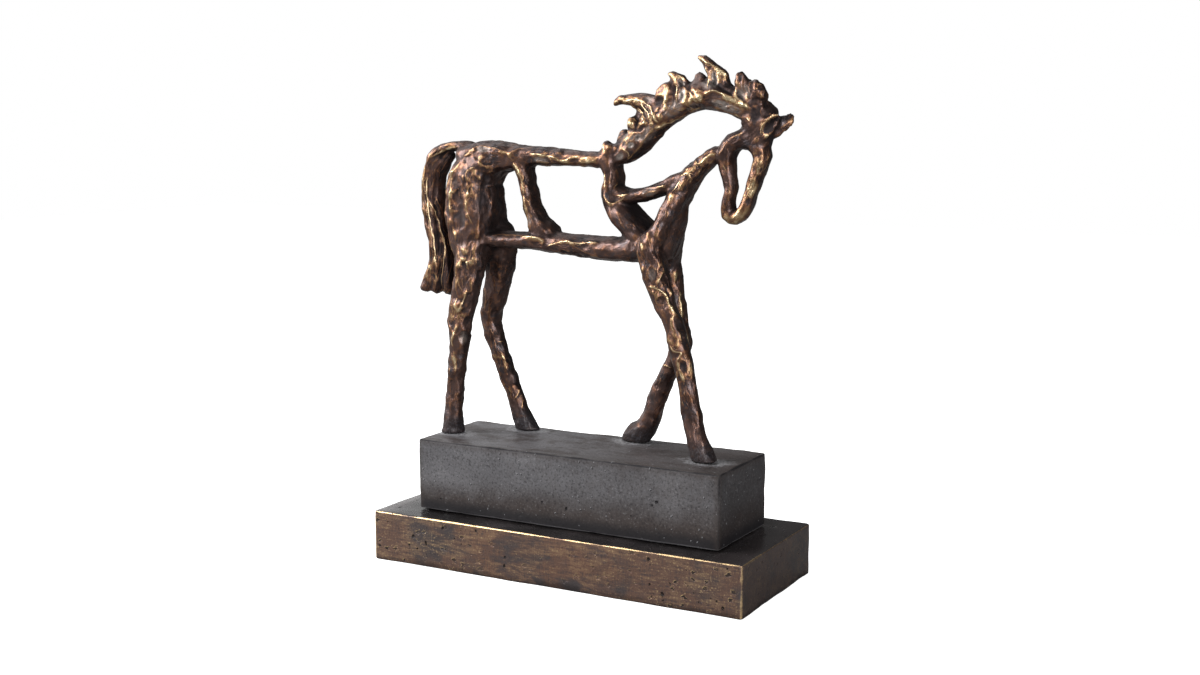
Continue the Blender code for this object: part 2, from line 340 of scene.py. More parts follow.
@dataclass(frozen=True)
class RubbedBronze:
    """Cast bronze with a dark brown patina, rubbed through to gold on the ridges and duller at the hooves,
    with painted shade and painted sheen laid on it by the marks on the mesh.
    """

    sole: float
    # recess_and_shade: the patina in the recesses, and the colour of the painted shade
    recess_and_shade: Colour = (0.026, 0.0205, 0.0215)
    umber: Colour = (0.063, 0.037, 0.032)
    plum: Colour = (0.145, 0.086, 0.072)
    rust: Colour = (0.290, 0.130, 0.066)
    slate: Colour = (0.062, 0.059, 0.068)
    brass: Colour = (0.400, 0.250, 0.128)
    gold: Colour = (0.780, 0.605, 0.370)
    # pewter_and_sheen: pale silvery patina and painted sheen
    pewter_and_sheen: Colour = (0.500, 0.430, 0.385)

    def material(self) -> bpy.types.Material:
        """Build the patina from the marks on the casting.

        Returns:
            The material.
        """
        graph = Graph(bpy.data.materials.new("rubbed_bronze"))
        place = graph.place()
        # patina_and_shade is the patina in hollows with painted shade; pewter_and_sheen is pale patina with
        # painted sheen
        marks = ("rub_dimmed_in_shade", "patina_and_shade", "pewter_and_sheen", "drawn", "line", "line_gold")
        rub_dimmed_in_shade, patina_and_shade, bright, drawn, line, line_gold = (graph.marked(name) for name in marks)
        broad = graph.noise(place, 24 * MM, detail=3.0, rough=0.55, warp=0.6)
        cool = graph.noise(graph.place(offset=(0.31, 0.17, 0.05)), 17 * MM, detail=3.0, rough=0.6, warp=0.8)
        blotch = graph.noise(place, 7 * MM, detail=3.0, rough=0.6, warp=0.8)
        grain = graph.noise(place, 1.8 * MM, detail=4.0, rough=0.7)
        speck = graph.noise(place, 0.6 * MM, rough=0.6)
        along = graph.drawn_along("grain", (0.16, 1.0, 1.0))
        strands = graph.noise(along, 1.6 * MM, detail=3.0, rough=0.6)
        combed = (strands - 0.5) * drawn
        here = drawn * cool.rise(0.36, 0.56)
        ledges, crests, creases = self._strokes(graph, 7 * MM, 0.34)
        fine_ledges, fine_crests, fine_creases = self._strokes(graph, 3.6 * MM, 0.42)
        crest = crests * 0.8 + fine_crests * 0.5
        crease = creases * 0.9 + fine_creases * 0.5

        off = line + (grain - 0.5) * 0.9 * MM
        thin_line = abs(off).rise(0.60 * MM, 0.10 * MM) * line_gold * (0.45 + blotch)
        groove = off.rise(0.5 * MM, 1.1 * MM) * off.rise(2.8 * MM, 1.6 * MM) * line_gold
        # dark: patina in hollows and grooves, and painted shade from the mesh
        dark = patina_and_shade + (blotch - 0.5) * 0.45 + (grain - 0.5) * 0.30 - combed * 0.7
        dark = (dark + crease * here * 0.65 + groove * 0.55).clamped()
        wear = rub_dimmed_in_shade + (grain - 0.5) * 0.30 + (blotch - 0.5) * 0.45 + combed * 0.7 - dark * 0.25
        wear = (wear + crest * here * (0.26 + rub_dimmed_in_shade * 0.6)).larger(thin_line * 1.05)
        shine = wear.rise(0.50, 0.88)
        height = graph.axes(place)[2] + (blotch - 0.5) * 14 * MM
        foot = height.rise(self.sole + 26 * MM, self.sole + 7 * MM)
        hoof = graph.mix(grain.rise(0.42, 0.66), self.recess_and_shade, self.slate)
        colour = graph.layered(
            self.umber,
            (broad.rise(0.36, 0.64), self.plum),
            (blotch.rise(0.50, 0.74) * 0.65, self.rust),
            (cool.rise(0.50, 0.66) * 0.70, self.slate),
            # pale silvery patina and painted sheen
            (bright * blotch.rise(0.28, 0.52), self.pewter_and_sheen),
            # the patina in the hollows and the painted shade
            (dark * 0.95, self.recess_and_shade),
            (wear.rise(0.10, 0.30) * 0.55, self.rust),
            (wear.rise(0.24, 0.54) * 0.88, self.brass),
            (shine, self.gold),
            (foot * 0.85, hoof),
        )

        roughness = 0.33 - shine * 0.05 + (speck - 0.5) * 0.14 + dark * 0.32 + foot * 0.14
        metallic = 0.88 + wear.rise(0.10, 0.60) * 0.10 - foot * 0.20
        relief = (ledges + fine_ledges * 0.45) * drawn + abs(off).rise(1.0 * MM, 0.0) * line_gold * 0.6
        normal = graph.bumps(
            (blotch, 0.25, 1.0 * MM),
            (relief, 0.45, 0.8 * MM),
            (combed, 0.40, 0.7 * MM),
            (grain, 0.35, 0.45 * MM),
            (speck, 0.2, 0.1 * MM),
        )
        return graph.finish(
            {
                "Base Color": colour,
                "Roughness": roughness,
                "Metallic": metallic.clamped(),
                "Specular IOR Level": 0.4,
                "Coat Weight": (0.18 - dark * 0.30).clamped(),
                "Coat Roughness": 0.18,
                "Normal": normal,
            }
        )

    def _strokes(self, graph: Graph, size: float, stretch: float) -> tuple[Signal, Signal, Signal]:
        """Overlapping strokes of a tool along the limb.

        Args:
            graph: The material's graph.
            size: How wide the strokes are, in metres.
            stretch: Their width as a share of their length.

        Returns:
            The raised strokes, the crests along their edges and the creases beside those, each from 0 to 1.
        """
        level = graph.noise(graph.drawn_along("grain", (stretch, 1.0, 1.0)), size, warp=0.7)
        crest = level.rise(0.488, 0.512) * level.rise(0.590, 0.535)
        crease = level.rise(0.420, 0.465) * level.rise(0.500, 0.482)
        return level.rise(0.470, 0.525), crest, crease


@dataclass(frozen=True)
class CharcoalStone:
    """Charcoal cast stone with pits, specks, dark edges and pale smears where the hooves are set, painted
    highlights on the pits' rims, and painted shade on the end face and towards the right end of the top.
    """

    low: Point
    high: Point
    hooves: tuple[tuple[float, float], ...]
    body: Colour = (0.100, 0.097, 0.103)
    pale: Colour = (0.136, 0.132, 0.139)
    umber: Colour = (0.044, 0.034, 0.031)
    ink: Colour = (0.014, 0.013, 0.015)
    # chalk_and_highlight: pale specks and smears, and the painted highlights on the pits' rims
    chalk_and_highlight: Colour = (0.42, 0.42, 0.44)

    def material(self) -> bpy.types.Material:
        """Build the stone for a block between two corners.

        Returns:
            The material.
        """
        graph = Graph(bpy.data.materials.new("charcoal_stone"))
        place = graph.place()
        x, y, z = graph.axes(place)
        cloud = graph.noise(place, 60 * MM, detail=3.0, rough=0.55, warp=0.3)
        mottle = graph.noise(place, 9 * MM, detail=4.0, rough=0.7)
        grain = graph.noise(place, 2.3 * MM, detail=3.0, rough=0.75)
        combed = graph.noise(graph.place((1.0, 1.0, 0.10)), 1.6 * MM, detail=3.0, rough=0.6)
        streaks = graph.noise(graph.place((0.14, 1.0, 1.0)), 6 * MM, detail=4.0, rough=0.65, warp=0.4)
        shifted = graph.place((0.6, 1.0, 1.0), (0.07, 0.11, 0.0))
        blot = graph.noise(shifted, 20 * MM, detail=3.0, rough=0.6, warp=0.6)
        above = z - self.low[2]
        height = above / (self.high[2] - self.low[2])
        length = (x - self.low[0]) / (self.high[0] - self.low[0])
        top = graph.marked("lid")

        foot = (height + (cloud - 0.5) * 0.35 + (mottle - 0.5) * 0.30 - length * 0.05).rise(0.56, 0.14)
        lid = graph.layered(
            self.umber,
            ((streaks * 0.24 + cloud * 0.32 + blot * 0.44).rise(0.42, 0.56), self.pale),
            # painted shade: the top darker towards its right end
            (length.rise(0.15, 0.90) * 0.75, self.umber),
        )
        # painted shade: the end face towards +X darkened
        shaded_end_face = (x - self.high[0]).rise(-1.6 * MM, -0.4 * MM)
        sole = (above + (mottle - 0.5) * 6 * MM).rise(16 * MM, 5.0 * MM)
        lip = (above + (streaks - 0.5) * 1.2 * MM).rise(2.3 * MM, 1.7 * MM)
        rim = self._edge_band(x, y, above, 8.0)
        line = self._edge_band(x, y, above, 2.6)
        white = graph.spots(place, 12.0 * MM, 0.22, 0.06)
        # lit: a painted highlight, a crescent on the upper left rim of each pit
        pits, lit = (
            graph.spots(graph.place(offset=offset), 6.5 * MM, 0.60, 0.20, 0.6)
            for offset in ((0.2, 0.1, 0.3), (0.2006, 0.1, 0.2993))
        )
        lit = (lit - pits).clamped()
        pits = pits.larger(graph.marked("hollow"))
        ring = None
        for hoof_x, hoof_y in self.hooves:
            far = (((x - hoof_x) * 0.62) ** 2.0 + (y - hoof_y) ** 2.0) ** 0.5
            smear = (far + (mottle - 0.5) * 20 * MM + (streaks - 0.5) * 14 * MM).rise(19 * MM, 9 * MM)
            ring = smear if ring is None else ring.larger(smear)
        colour = graph.layered(
            self.body,
            (cloud.rise(0.32, 0.68), self.pale),
            ((mottle - 0.5) * 0.9 + (combed - 0.5) * 0.4 + length * length * 0.38, self.umber),
            (foot * 0.95, self.umber),
            (top * 0.85, lid),
            # painted shade on the end face
            (shaded_end_face * 0.40, self.ink),
            (grain.rise(0.50, 0.32) * 0.62, self.ink),
            (grain.rise(0.56, 0.76) * 0.24, self.chalk_and_highlight),
            (sole * 0.92, self.ink),
            (lip * 0.75, self.pale),
            ((rim + (mottle - 0.5) * 0.5).clamped() * 0.40, self.umber),
            ((line * (0.6 + mottle)).clamped() * 0.92, self.ink),
            (white * 0.60, self.chalk_and_highlight),
            # the painted highlights on the pits' rims
            (lit * 0.45, self.chalk_and_highlight),
            (pits * 0.9, self.ink),
            (ring * top * (0.30 + grain.rise(0.40, 0.60)) * 0.48, self.chalk_and_highlight),
        )

        roughness = 0.56 - top * 0.12 + (mottle - 0.5) * 0.2 + line * 0.3
        dents = (1.0 - pits) * 0.9 + white * 0.1
        normal = graph.bumps((mottle, 0.2, 0.8 * MM), (grain, 0.55, 0.5 * MM), (dents, 0.8, 0.5 * MM))
        return graph.finish(
            {"Base Color": colour, "Roughness": roughness, "Specular IOR Level": 0.25, "Normal": normal}
        )

    def _edge_band(self, x: Signal, y: Signal, above: Signal, width: float) -> Signal:
        """Find the bands along all edges but the lowest.

        Args:
            x: The object's own x, in metres.
            y: Its y.
            above: The height above the block's foot.
            width: How wide the bands are, in millimetres.

        Returns:
            0 outside the bands, rising to 1 at the edges.
        """
        near = []
        for value, low, high in ((x, self.low[0], self.high[0]), (y, self.low[1], self.high[1])):
            gap = 0.5 * (high - low) - abs(value - 0.5 * (low + high))
            near.append(gap.rise(width * MM, 0.3 * width * MM))
        under = self.high[2] - self.low[2] - above
        near.append(under.rise(width * MM, 0.3 * width * MM))
        return (near[0] * near[1]).larger(near[1] * near[2]).larger(near[0] * near[2])


@dataclass(frozen=True)
class AgedBronze:
    """The slab's bronze: streaked brown sides, a near-black waxed top and edges rubbed to gold and painted as
    highlights, painted highlights on the pits' rims, painted reflections towards both ends of the top and
    painted shade on the end faces.
    """

    low: Point
    high: Point
    brown: Colour = (0.200, 0.122, 0.094)
    rust: Colour = (0.255, 0.130, 0.085)
    ochre: Colour = (0.380, 0.250, 0.155)
    slate: Colour = (0.103, 0.087, 0.088)
    gold: Colour = (0.760, 0.540, 0.290)
    black: Colour = (0.015, 0.0125, 0.013)

    def material(self) -> bpy.types.Material:
        """Build the bronze for a slab between two corners.

        Returns:
            The material.
        """
        graph = Graph(bpy.data.materials.new("aged_bronze"))
        place = graph.place()
        x, y, z = graph.axes(place)
        cloud = graph.noise(place, 42 * MM, detail=3.0, rough=0.55, warp=0.4)
        shifted = graph.place((0.45, 1.0, 1.0), (0.3, 0.0, 0.1))
        drift = graph.noise(shifted, 14 * MM, detail=4.0, rough=0.65, warp=0.5)
        brushed = graph.noise(graph.place((0.13, 1.0, 1.0)), 2.0 * MM, detail=4.0, rough=0.7, warp=0.2)
        hatch = graph.noise(graph.place((1.0, 1.0, 0.16)), 1.8 * MM, detail=3.0, rough=0.65)
        grain = graph.noise(place, 1.8 * MM, detail=3.0, rough=0.75)
        speck = graph.noise(place, 0.6 * MM, rough=0.6)
        end = abs(x).rise(self.high[0] - 1.8 * MM, self.high[0] - 0.3 * MM)
        top = graph.marked("lid")
        crowded = (abs(x) + (drift - 0.5) * 60 * MM).rise(45 * MM, 125 * MM)

        warm = (1.0 - crowded) * drift.rise(0.40, 0.62)
        fleck = (grain * 0.6 + brushed * 0.25 + hatch * 0.15).rise(0.54, 0.66)
        fleck = fleck * (drift.rise(0.36, 0.56) * 0.6 + crowded * 0.65).clamped()
        foot = (z + (drift - 0.5) * 12 * MM).rise(7 * MM, 0.0)
        side = graph.layered(
            self.slate,
            ((cloud + crowded * 0.08).rise(0.40, 0.58), self.brown),
            (warm * 0.50, self.rust),
            ((drift * 0.6 + brushed * 0.4).rise(0.47, 0.64) * 0.55, self.ochre),
            ((brushed * 0.6 + hatch * 0.4).rise(0.50, 0.36) * 0.80, self.slate),
            (fleck * 0.90, self.gold),
            (grain.rise(0.44, 0.28) * 0.6, self.black),
            # painted shade: the end faces toned towards slate
            (end * 0.65, self.slate),
            (foot * 0.60, self.black),
        )
        lid = graph.layered(
            self.black,
            ((cloud * 0.5 + grain * 0.5).rise(0.42, 0.68) * 0.75, self.slate),
            # painted reflections: the top lighter towards both ends
            ((x + (drift - 0.5) * 30 * MM).rise(140 * MM, 175 * MM) * 0.5, self.slate),
            ((x + (drift - 0.5) * 20 * MM).rise(-162 * MM, -182 * MM) * 0.6, self.slate),
        )
        spread = 0.35 + crowded * 0.65
        spread = (spread + (cloud - 0.5) * 1.6 * crowded - end * 0.7).clamped()
        # lit: a painted highlight, a gold crescent on the upper left rim of each pit
        large, lit = (
            graph.spots(graph.place((0.7, 1.0, 1.0), offset), 7.5 * MM, 0.60, 0.36, 0.8) * spread
            for offset in ((0.0, 0.0, 0.0), (0.0005, 0.0, -0.0006))
        )
        small = graph.spots(graph.place(offset=(0.2, 0.1, 0.3)), 4.0 * MM, 0.45, 0.20, 0.8) * spread
        lit = (lit - large).clamped() * (1.0 - end) * (1.0 - top)
        edges = self._worn_and_highlit_edges(x, y, z)
        # the edges: gold where the patina is gone, and a painted highlight that fades towards +X
        edge_gold_and_highlight = (edges + (brushed - 0.5) * 0.7 + (drift - 0.5) * 0.6 - x * 0.7).rise(0.45, 0.90)
        pits = (large.larger(small) * (1.0 - edges)).larger(graph.marked("hollow"))
        colour = graph.layered(
            side,
            (top, lid),
            # the painted highlights on the pits' rims
            (lit * (0.3 + brushed) * 0.9, self.gold),
            # rubbed gold and painted highlight along the edges
            (edge_gold_and_highlight * 0.9, self.gold),
            (pits * 0.92, self.black),
        )

        roughness = 0.42 - top * 0.20 - edge_gold_and_highlight * 0.04 + (brushed - 0.5) * 0.16 + pits * 0.3
        metallic = 0.75 - top * 0.25 + edge_gold_and_highlight * 0.3 - pits * 0.3
        dents = 1.0 - pits
        normal = graph.bumps(
            (brushed, 0.15, 0.3 * MM),
            (grain, 0.40, 0.4 * MM),
            (speck, 0.2, 0.1 * MM),
            (dents, 0.9, 0.7 * MM),
        )
        return graph.finish(
            {
                "Base Color": colour,
                "Roughness": roughness,
                "Metallic": metallic.clamped(),
                "Specular IOR Level": 0.3,
                "Coat Weight": 0.12,
                "Coat Roughness": 0.2,
                "Normal": normal,
            }
        )

    def _worn_and_highlit_edges(self, x: Signal, y: Signal, z: Signal) -> Signal:
        """Find where the patina is gone and a highlight is painted: most along the long upper edges, then at
        the upright corners.

        Args:
            x: The object's own x, in metres.
            y: Its y.
            z: Its z.

        Returns:
            0 on the faces, rising towards 1 at the edges.
        """
        to_top = self.high[2] - z
        to_side = self.high[1] - abs(y)
        to_end = self.high[0] - abs(x)
        long_edge = (to_top + to_side).rise(1.8 * MM, 1.2 * MM)
        short_edge = (to_top + to_end).rise(1.9 * MM, 1.2 * MM) * 0.75
        corner = (to_side + to_end).rise(3.8 * MM, 2.4 * MM) * 0.95
        return long_edge.larger(short_edge).larger(corner)


@dataclass(frozen=True)
class PaleSweep:
    """The studio floor: plain and pale, and washed out to white except where the object shades it."""

    colour: Colour = (0.80, 0.80, 0.80)
    bounce: Colour = (0.22, 0.22, 0.22)
    wash: float = 0.90

    def material(self) -> bpy.types.Material:
        """Build the floor's plain finish, whose wash is seen but lights nothing.

        Returns:
            The material.
        """
        graph = Graph(bpy.data.materials.new("pale_floor"))
        seen = graph.out("ShaderNodeLightPath", output="Is Camera Ray")
        dull = {"Roughness": 0.8}
        washed = {"Emission Color": (1.0, 1.0, 1.0), "Emission Strength": self.wash}
        lit = graph.out("ShaderNodeBsdfPrincipled", None, {"Base Color": self.bounce, **dull})
        shown = graph.out("ShaderNodeBsdfPrincipled", None, {"Base Color": self.colour, **dull, **washed})
        surface = graph.out("ShaderNodeMixShader", None, {0: seen, 1: lit, 2: shown})
        graph.node("ShaderNodeOutputMaterial", None, {"Surface": surface})
        return graph.owner


# ---- Tools ----


def deselect() -> None:
    """Leave nothing selected and nothing active."""
    if bpy.context.object is not None and bpy.context.object.mode != "OBJECT":
        bpy.ops.object.mode_set(mode="OBJECT")
    bpy.ops.object.select_all(action="DESELECT")
    bpy.context.view_layer.objects.active = None


def pick(*pieces: bpy.types.Object) -> None:
    """Select these pieces alone and make the first one active.

    Args:
        pieces: The pieces.
    """
    deselect()
    for piece in pieces:
        piece.select_set(True)
    bpy.context.view_layer.objects.active = pieces[0]


def apply_modifier(piece: bpy.types.Object, name: str, kind: str, **settings: object) -> None:
    """Add a modifier and apply it.

    Args:
        piece: The piece to change.
        name: The modifier's name.
        kind: The modifier's type.
        settings: Its settings.
    """
    pick(piece)
    modifier = piece.modifiers.new(name, kind)
    for key, value in settings.items():
        setattr(modifier, key, value)
    bpy.ops.object.modifier_apply(modifier=name)


def settle(piece: bpy.types.Object) -> None:
    """Put the piece's place, turn and scale into its mesh."""
    pick(piece)
    bpy.ops.object.transform_apply(location=True, rotation=True, scale=True)


def dress(piece: bpy.types.Object, finish: bpy.types.Material) -> None:
    """Give a piece this finish alone."""
    piece.data.materials.clear()
    piece.data.materials.append(finish)


def write_mark(piece: bpy.types.Object, name: str, values: np.ndarray) -> None:
    """Paint numbers or vectors on a piece's mesh, for its finish to read.

    Args:
        piece: The piece.
        name: The mark's name.
        values: One number, or a row of three, for each vertex.
    """
    kind, key = ("FLOAT", "value") if values.ndim == 1 else ("FLOAT_VECTOR", "vector")
    attribute = piece.data.attributes.new(name, kind, "POINT")
    attribute.data.foreach_set(key, values.astype(np.float32).ravel())


def ease(values: np.ndarray, low: float, high: float) -> np.ndarray:
    """Go smoothly from 0 where values are low to 1 where they are high."""
    share = np.clip((values - low) / (high - low), 0.0, 1.0)
    return share * share * (3.0 - 2.0 * share)


def soft_noise(points: np.ndarray, size: float, salt: float) -> np.ndarray:
    """Perlin noise, from about -1 to 1, with lumps of this size, for rows of points."""
    return np.array([noise.noise(Vector(row)) for row in points / size + salt])


def creases(points: np.ndarray, size: float, salt: float, sharpness: float) -> np.ndarray:
    """Wandering ridge lines about size apart, from 0 between them to 1 along them."""
    return (1.0 - np.clip(np.abs(soft_noise(points, size, salt)) * 1.6, 0.0, 1.0)) ** sharpness


def presses(points: np.ndarray, size: np.ndarray, salt: float) -> np.ndarray:
    """The relief that overlapping thumb presses leave.

    Args:
        points: Rows of points, in millimetres.
        size: How far apart the presses are at each point, in millimetres.
        salt: Chooses another set of presses.

    Returns:
        Heights in millimetres: bowls, each with its own tilt and depth, that meet in sharp edges.
    """
    heights = np.empty(len(points))
    for index, row in enumerate(points / size[:, None] + salt):
        place = Vector(row)
        distances, seeds = noise.voronoi(place)
        chance = noise.cell_vector(seeds[0] * 61.7) - Vector((0.5, 0.5, 0.5))
        bowl = (0.75 + chance.z) * distances[0] ** 2
        heights[index] = bowl + 0.55 * chance.dot(place - seeds[0]) + 0.16 * chance.y - 0.16
    return heights * size


class Side(Enum):
    """A side of the horse, by the sign of Y that it faces."""

    NEAR = -1.0
    FAR = 1.0


def rounded(stops: np.ndarray, rounds: int = 2) -> np.ndarray:
    """Cut the corners of a line, so that it bends softly.

    Args:
        stops: The line's corners, as rows.
        rounds: How many times to cut.

    Returns:
        The new corners.
    """
    for _ in range(rounds):
        before, after = stops[:-1], stops[1:]
        inner = np.stack([0.75 * before + 0.25 * after, 0.25 * before + 0.75 * after], axis=1)
        stops = np.concatenate([stops[:1], inner.reshape(-1, stops.shape[1]), stops[-1:]])
    return stops


@dataclass(frozen=True)
class Track:
    """Where points lie along a line: how far off it, how far along, by what gap and in which heading."""

    distance: np.ndarray
    travelled: np.ndarray
    gap: np.ndarray
    heading: np.ndarray
    length: float

    @classmethod
    def along(cls, points: np.ndarray, stops: np.ndarray) -> "Track":
        """Measure points against a line.

        Args:
            points: Rows of points.
            stops: The line's corners, as rows.

        Returns:
            The measures at each point, against the nearest piece of the line.
        """
        distance = np.full(len(points), np.inf)
        travelled = np.zeros(len(points))
        gap = np.zeros_like(points)
        heading = np.zeros_like(points)
        covered = 0.0
        for start, end in zip(stops, stops[1:]):
            run = end - start
            length = float(np.linalg.norm(run))
            share = np.clip((points - start) @ run / length**2, 0.0, 1.0)
            off = points - (start + share[:, None] * run)
            reach = np.linalg.norm(off, axis=1)
            closer = reach < distance
            distance[closer] = reach[closer]
            travelled[closer] = covered + share[closer] * length
            gap[closer] = off[closer]
            heading[closer] = run / length
            covered += length
        return cls(distance, travelled, gap, heading, covered)


# ---- The horse ----


@dataclass(frozen=True)
class Flow:
    """A run of the casting that its tool marks follow, as points along its middle.

    relief is how strongly it is pressed, cell how far apart the presses are, gold how much of the patina
    is rubbed away there and strands how far it is drawn out like hair, each of the last two from 0 to 1.
    """

    points: tuple[Point, ...]
    relief: float
    cell: float
    gold: float
    strands: float = 0.0


FLOWS = (
    Flow(((-128, 12, 378), (-127, 12, 300)), 0.50, 15, 0.45),  # haunch
    Flow(((-126, -4, 300), (-130, -8, 245)), 0.42, 11, 0.45),  # near thigh
    Flow(((-131, -9, 240), (-136, -10, 200)), 0.42, 9, 0.50),  # near hock
    Flow(((-136, -10, 200), (-143, -10, 135)), 0.30, 8, 0.25),  # near cannon
    Flow(((-143, -10, 133), (-146, -10, 115)), 0.25, 7, 0.02),  # near hind hoof
    Flow(((-113, 28, 300), (-120, 33, 250), (-128, 35, 225)), 0.38, 10, 0.30),  # far thigh
    Flow(((-128, 35, 225), (-112, 37, 171), (-98, 37, 136)), 0.38, 8, 0.35),  # far cannon
    Flow(((-96, 37, 133), (-86, 37, 115)), 0.25, 7, 0.05),  # far hind hoof
    Flow(((-130, 12, 384), (-78, 12, 381)), 0.36, 12, 0.30),  # croup
    Flow(((-78, 12, 380), (-20, 12, 379)), 0.26, 11, 0.40),  # back
    Flow(((-20, 12, 378), (26, 12, 380)), 0.22, 9, 0.46),  # withers
    Flow(((-105, 12, 302), (-62, 12, 302)), 0.10, 14, 0.06),  # belly rear
    Flow(((-62, 12, 302), (20, 12, 298)), 0.22, 13, 0.30),  # belly
    Flow(((20, 12, 298), (60, 12, 300)), 0.16, 11, 0.25),  # belly front
    Flow(((-75, 11, 374), (-66, 9, 340), (-55, 10, 312)), 0.26, 9, 0.35),  # hip strut
    Flow(((18, 13, 372), (19, 13, 348)), 0.18, 7, 0.30),  # shoulder strut
    Flow(((19, 13, 348), (24, 13, 336)), 0.16, 7, 0.60),  # strut knee
    Flow(((24, 14, 336), (56, 15, 304)), 0.18, 11, 0.15),  # strut foot
    Flow(((24, 12, 345), (86, 12, 361)), 0.16, 8, 0.20),  # neck bar
    Flow(((118, 12, 382), (84, 12, 341)), 0.26, 8, 0.45),  # throat
    Flow(((84, 8, 341), (68, 8, 300)), 0.20, 12, 0.18),  # chest
    Flow(((66, -4, 300), (80, -8, 256), (91, -9, 236)), 0.34, 9, 0.38),  # near forearm
    Flow(((91, -9, 236), (98, -10, 210)), 0.36, 8, 0.52),  # near knee
    Flow(((98, -10, 210), (111, -10, 155)), 0.26, 8, 0.30),  # near fore cannon
    Flow(((111, -10, 155), (126, -10, 112)), 0.26, 8, 0.10),  # near fore hoof
    Flow(((65, 30, 298), (71, 32, 258), (78, 34, 210)), 0.28, 8, 0.35),  # far forearm
    Flow(((76, 34, 205), (45, 37, 136)), 0.22, 8, 0.10),  # far fore cannon
    Flow(((43, 37, 133), (24, 38, 114)), 0.30, 6, 0.05),  # far fore hoof
    Flow(  # tail
        (
            (-134, 12, 388), (-160, 11, 386), (-176, 10, 368),
            (-181, 10, 336), (-176, 10, 300), (-174, 10, 250),
        ),
        0.12, 9, 0.20, 1.0,
    ),
    Flow(  # crest
        ((26, 12, 382), (52, 12, 402), (72, 12, 420), (96, 12, 432), (126, 12, 432), (152, 12, 424)),
        0.34, 8, 0.52,
    ),
    Flow(  # strap
        ((30, 12, 374), (50, 12, 384), (64, 12, 398), (84, 12, 410), (108, 12, 420)),
        0.12, 9, 0.20,
    ),
    Flow(((60, 13, 425), (24, 12, 430)), 0.16, 8, 0.38),  # low spike
    Flow(((88, 11, 438), (78, 9, 452)), 0.28, 6, 0.55),  # middle spike
    Flow(((124, 13, 440), (106, 12, 466)), 0.24, 7, 0.65),  # tall spike
    Flow(((157, 12, 442), (160, 12, 402)), 0.60, 8, 0.22),  # poll
    Flow(((132, 12, 372), (137, 12, 392), (150, 12, 398)), 0.14, 10, 0.15),  # cheek
    Flow(((162, 12, 386), (156, 12, 356), (150, 12, 336)), 0.16, 8, 0.48),  # nose
    Flow(((148, 12, 334), (136, 12, 329)), 0.14, 6, 0.72),  # muzzle
    Flow(((134, 12, 334), (136, 12, 356), (132, 12, 370)), 0.16, 8, 0.22),  # jaw
    Flow(((166, 3, 400), (181, 0, 415)), 0.04, 7, 0.45),  # near ear
    Flow(((172, 21, 403), (186, 25, 417)), 0.08, 7, 0.40),  # far ear
)


class Skin(Enum):
    """A stretch of skin to draw on: how far it is from the mid-plane, and which sides carry it."""

    HAUNCH = (26.0, (Side.NEAR, Side.FAR))
    TAIL = (10.0, (Side.NEAR, Side.FAR))
    BARS = (13.0, (Side.NEAR, Side.FAR))
    THROAT = (17.0, (Side.NEAR, Side.FAR))
    CHEST = (25.0, (Side.NEAR, Side.FAR))
    NEAR_LEG = (31.0, (Side.NEAR,))
    FAR_LEG = (-13.0, (Side.NEAR,))
    MANE = (11.0, (Side.NEAR, Side.FAR))
    HEAD = (9.0, (Side.NEAR, Side.FAR))
    EAR = (16.0, (Side.NEAR, Side.FAR))


@dataclass(frozen=True)
class Stroke:
    """A ridge drawn up from the wax through x and z points, or a groove where height is negative."""

    points: tuple[tuple[float, float], ...]
    width: float
    height: float
    gold: float = 0.0

    def press(self, patch: "Patch") -> np.ndarray:
        """Draw the stroke and lay its paints.

        Args:
            patch: The skin to draw on.

        Returns:
            How far it raises each vertex of the patch, in millimetres.
        """
        track = Track.along(patch.flat + patch.wander, rounded(np.array(self.points, float)))
        taper = ease(track.travelled, -1.5, 2.5) * ease(track.length - track.travelled, -1.5, 2.5)
        profile = np.exp(-((track.distance / self.width) ** 2)) * taper
        if self.height < 0.0:
            patch.tint("shade", 0.75 * profile)
            return self.height * profile
        halo_width = 1.8 * self.width
        halo = np.exp(-((track.distance / halo_width) ** 2)) * taper
        patch.tint("gold", self.gold * halo * patch.broken)
        side = track.heading[:, 0] * track.gap[:, 1] - track.heading[:, 1] * track.gap[:, 0]
        near = (1.0 - ease(track.distance, 1.6, 3.4)) * (1.0 - 0.7 * ease(self.width, 2.0, 3.0))
        patch.scribe(np.copysign(track.distance, side), self.gold * near * taper)
        return self.height * profile * (0.55 + 0.60 * patch.broken)


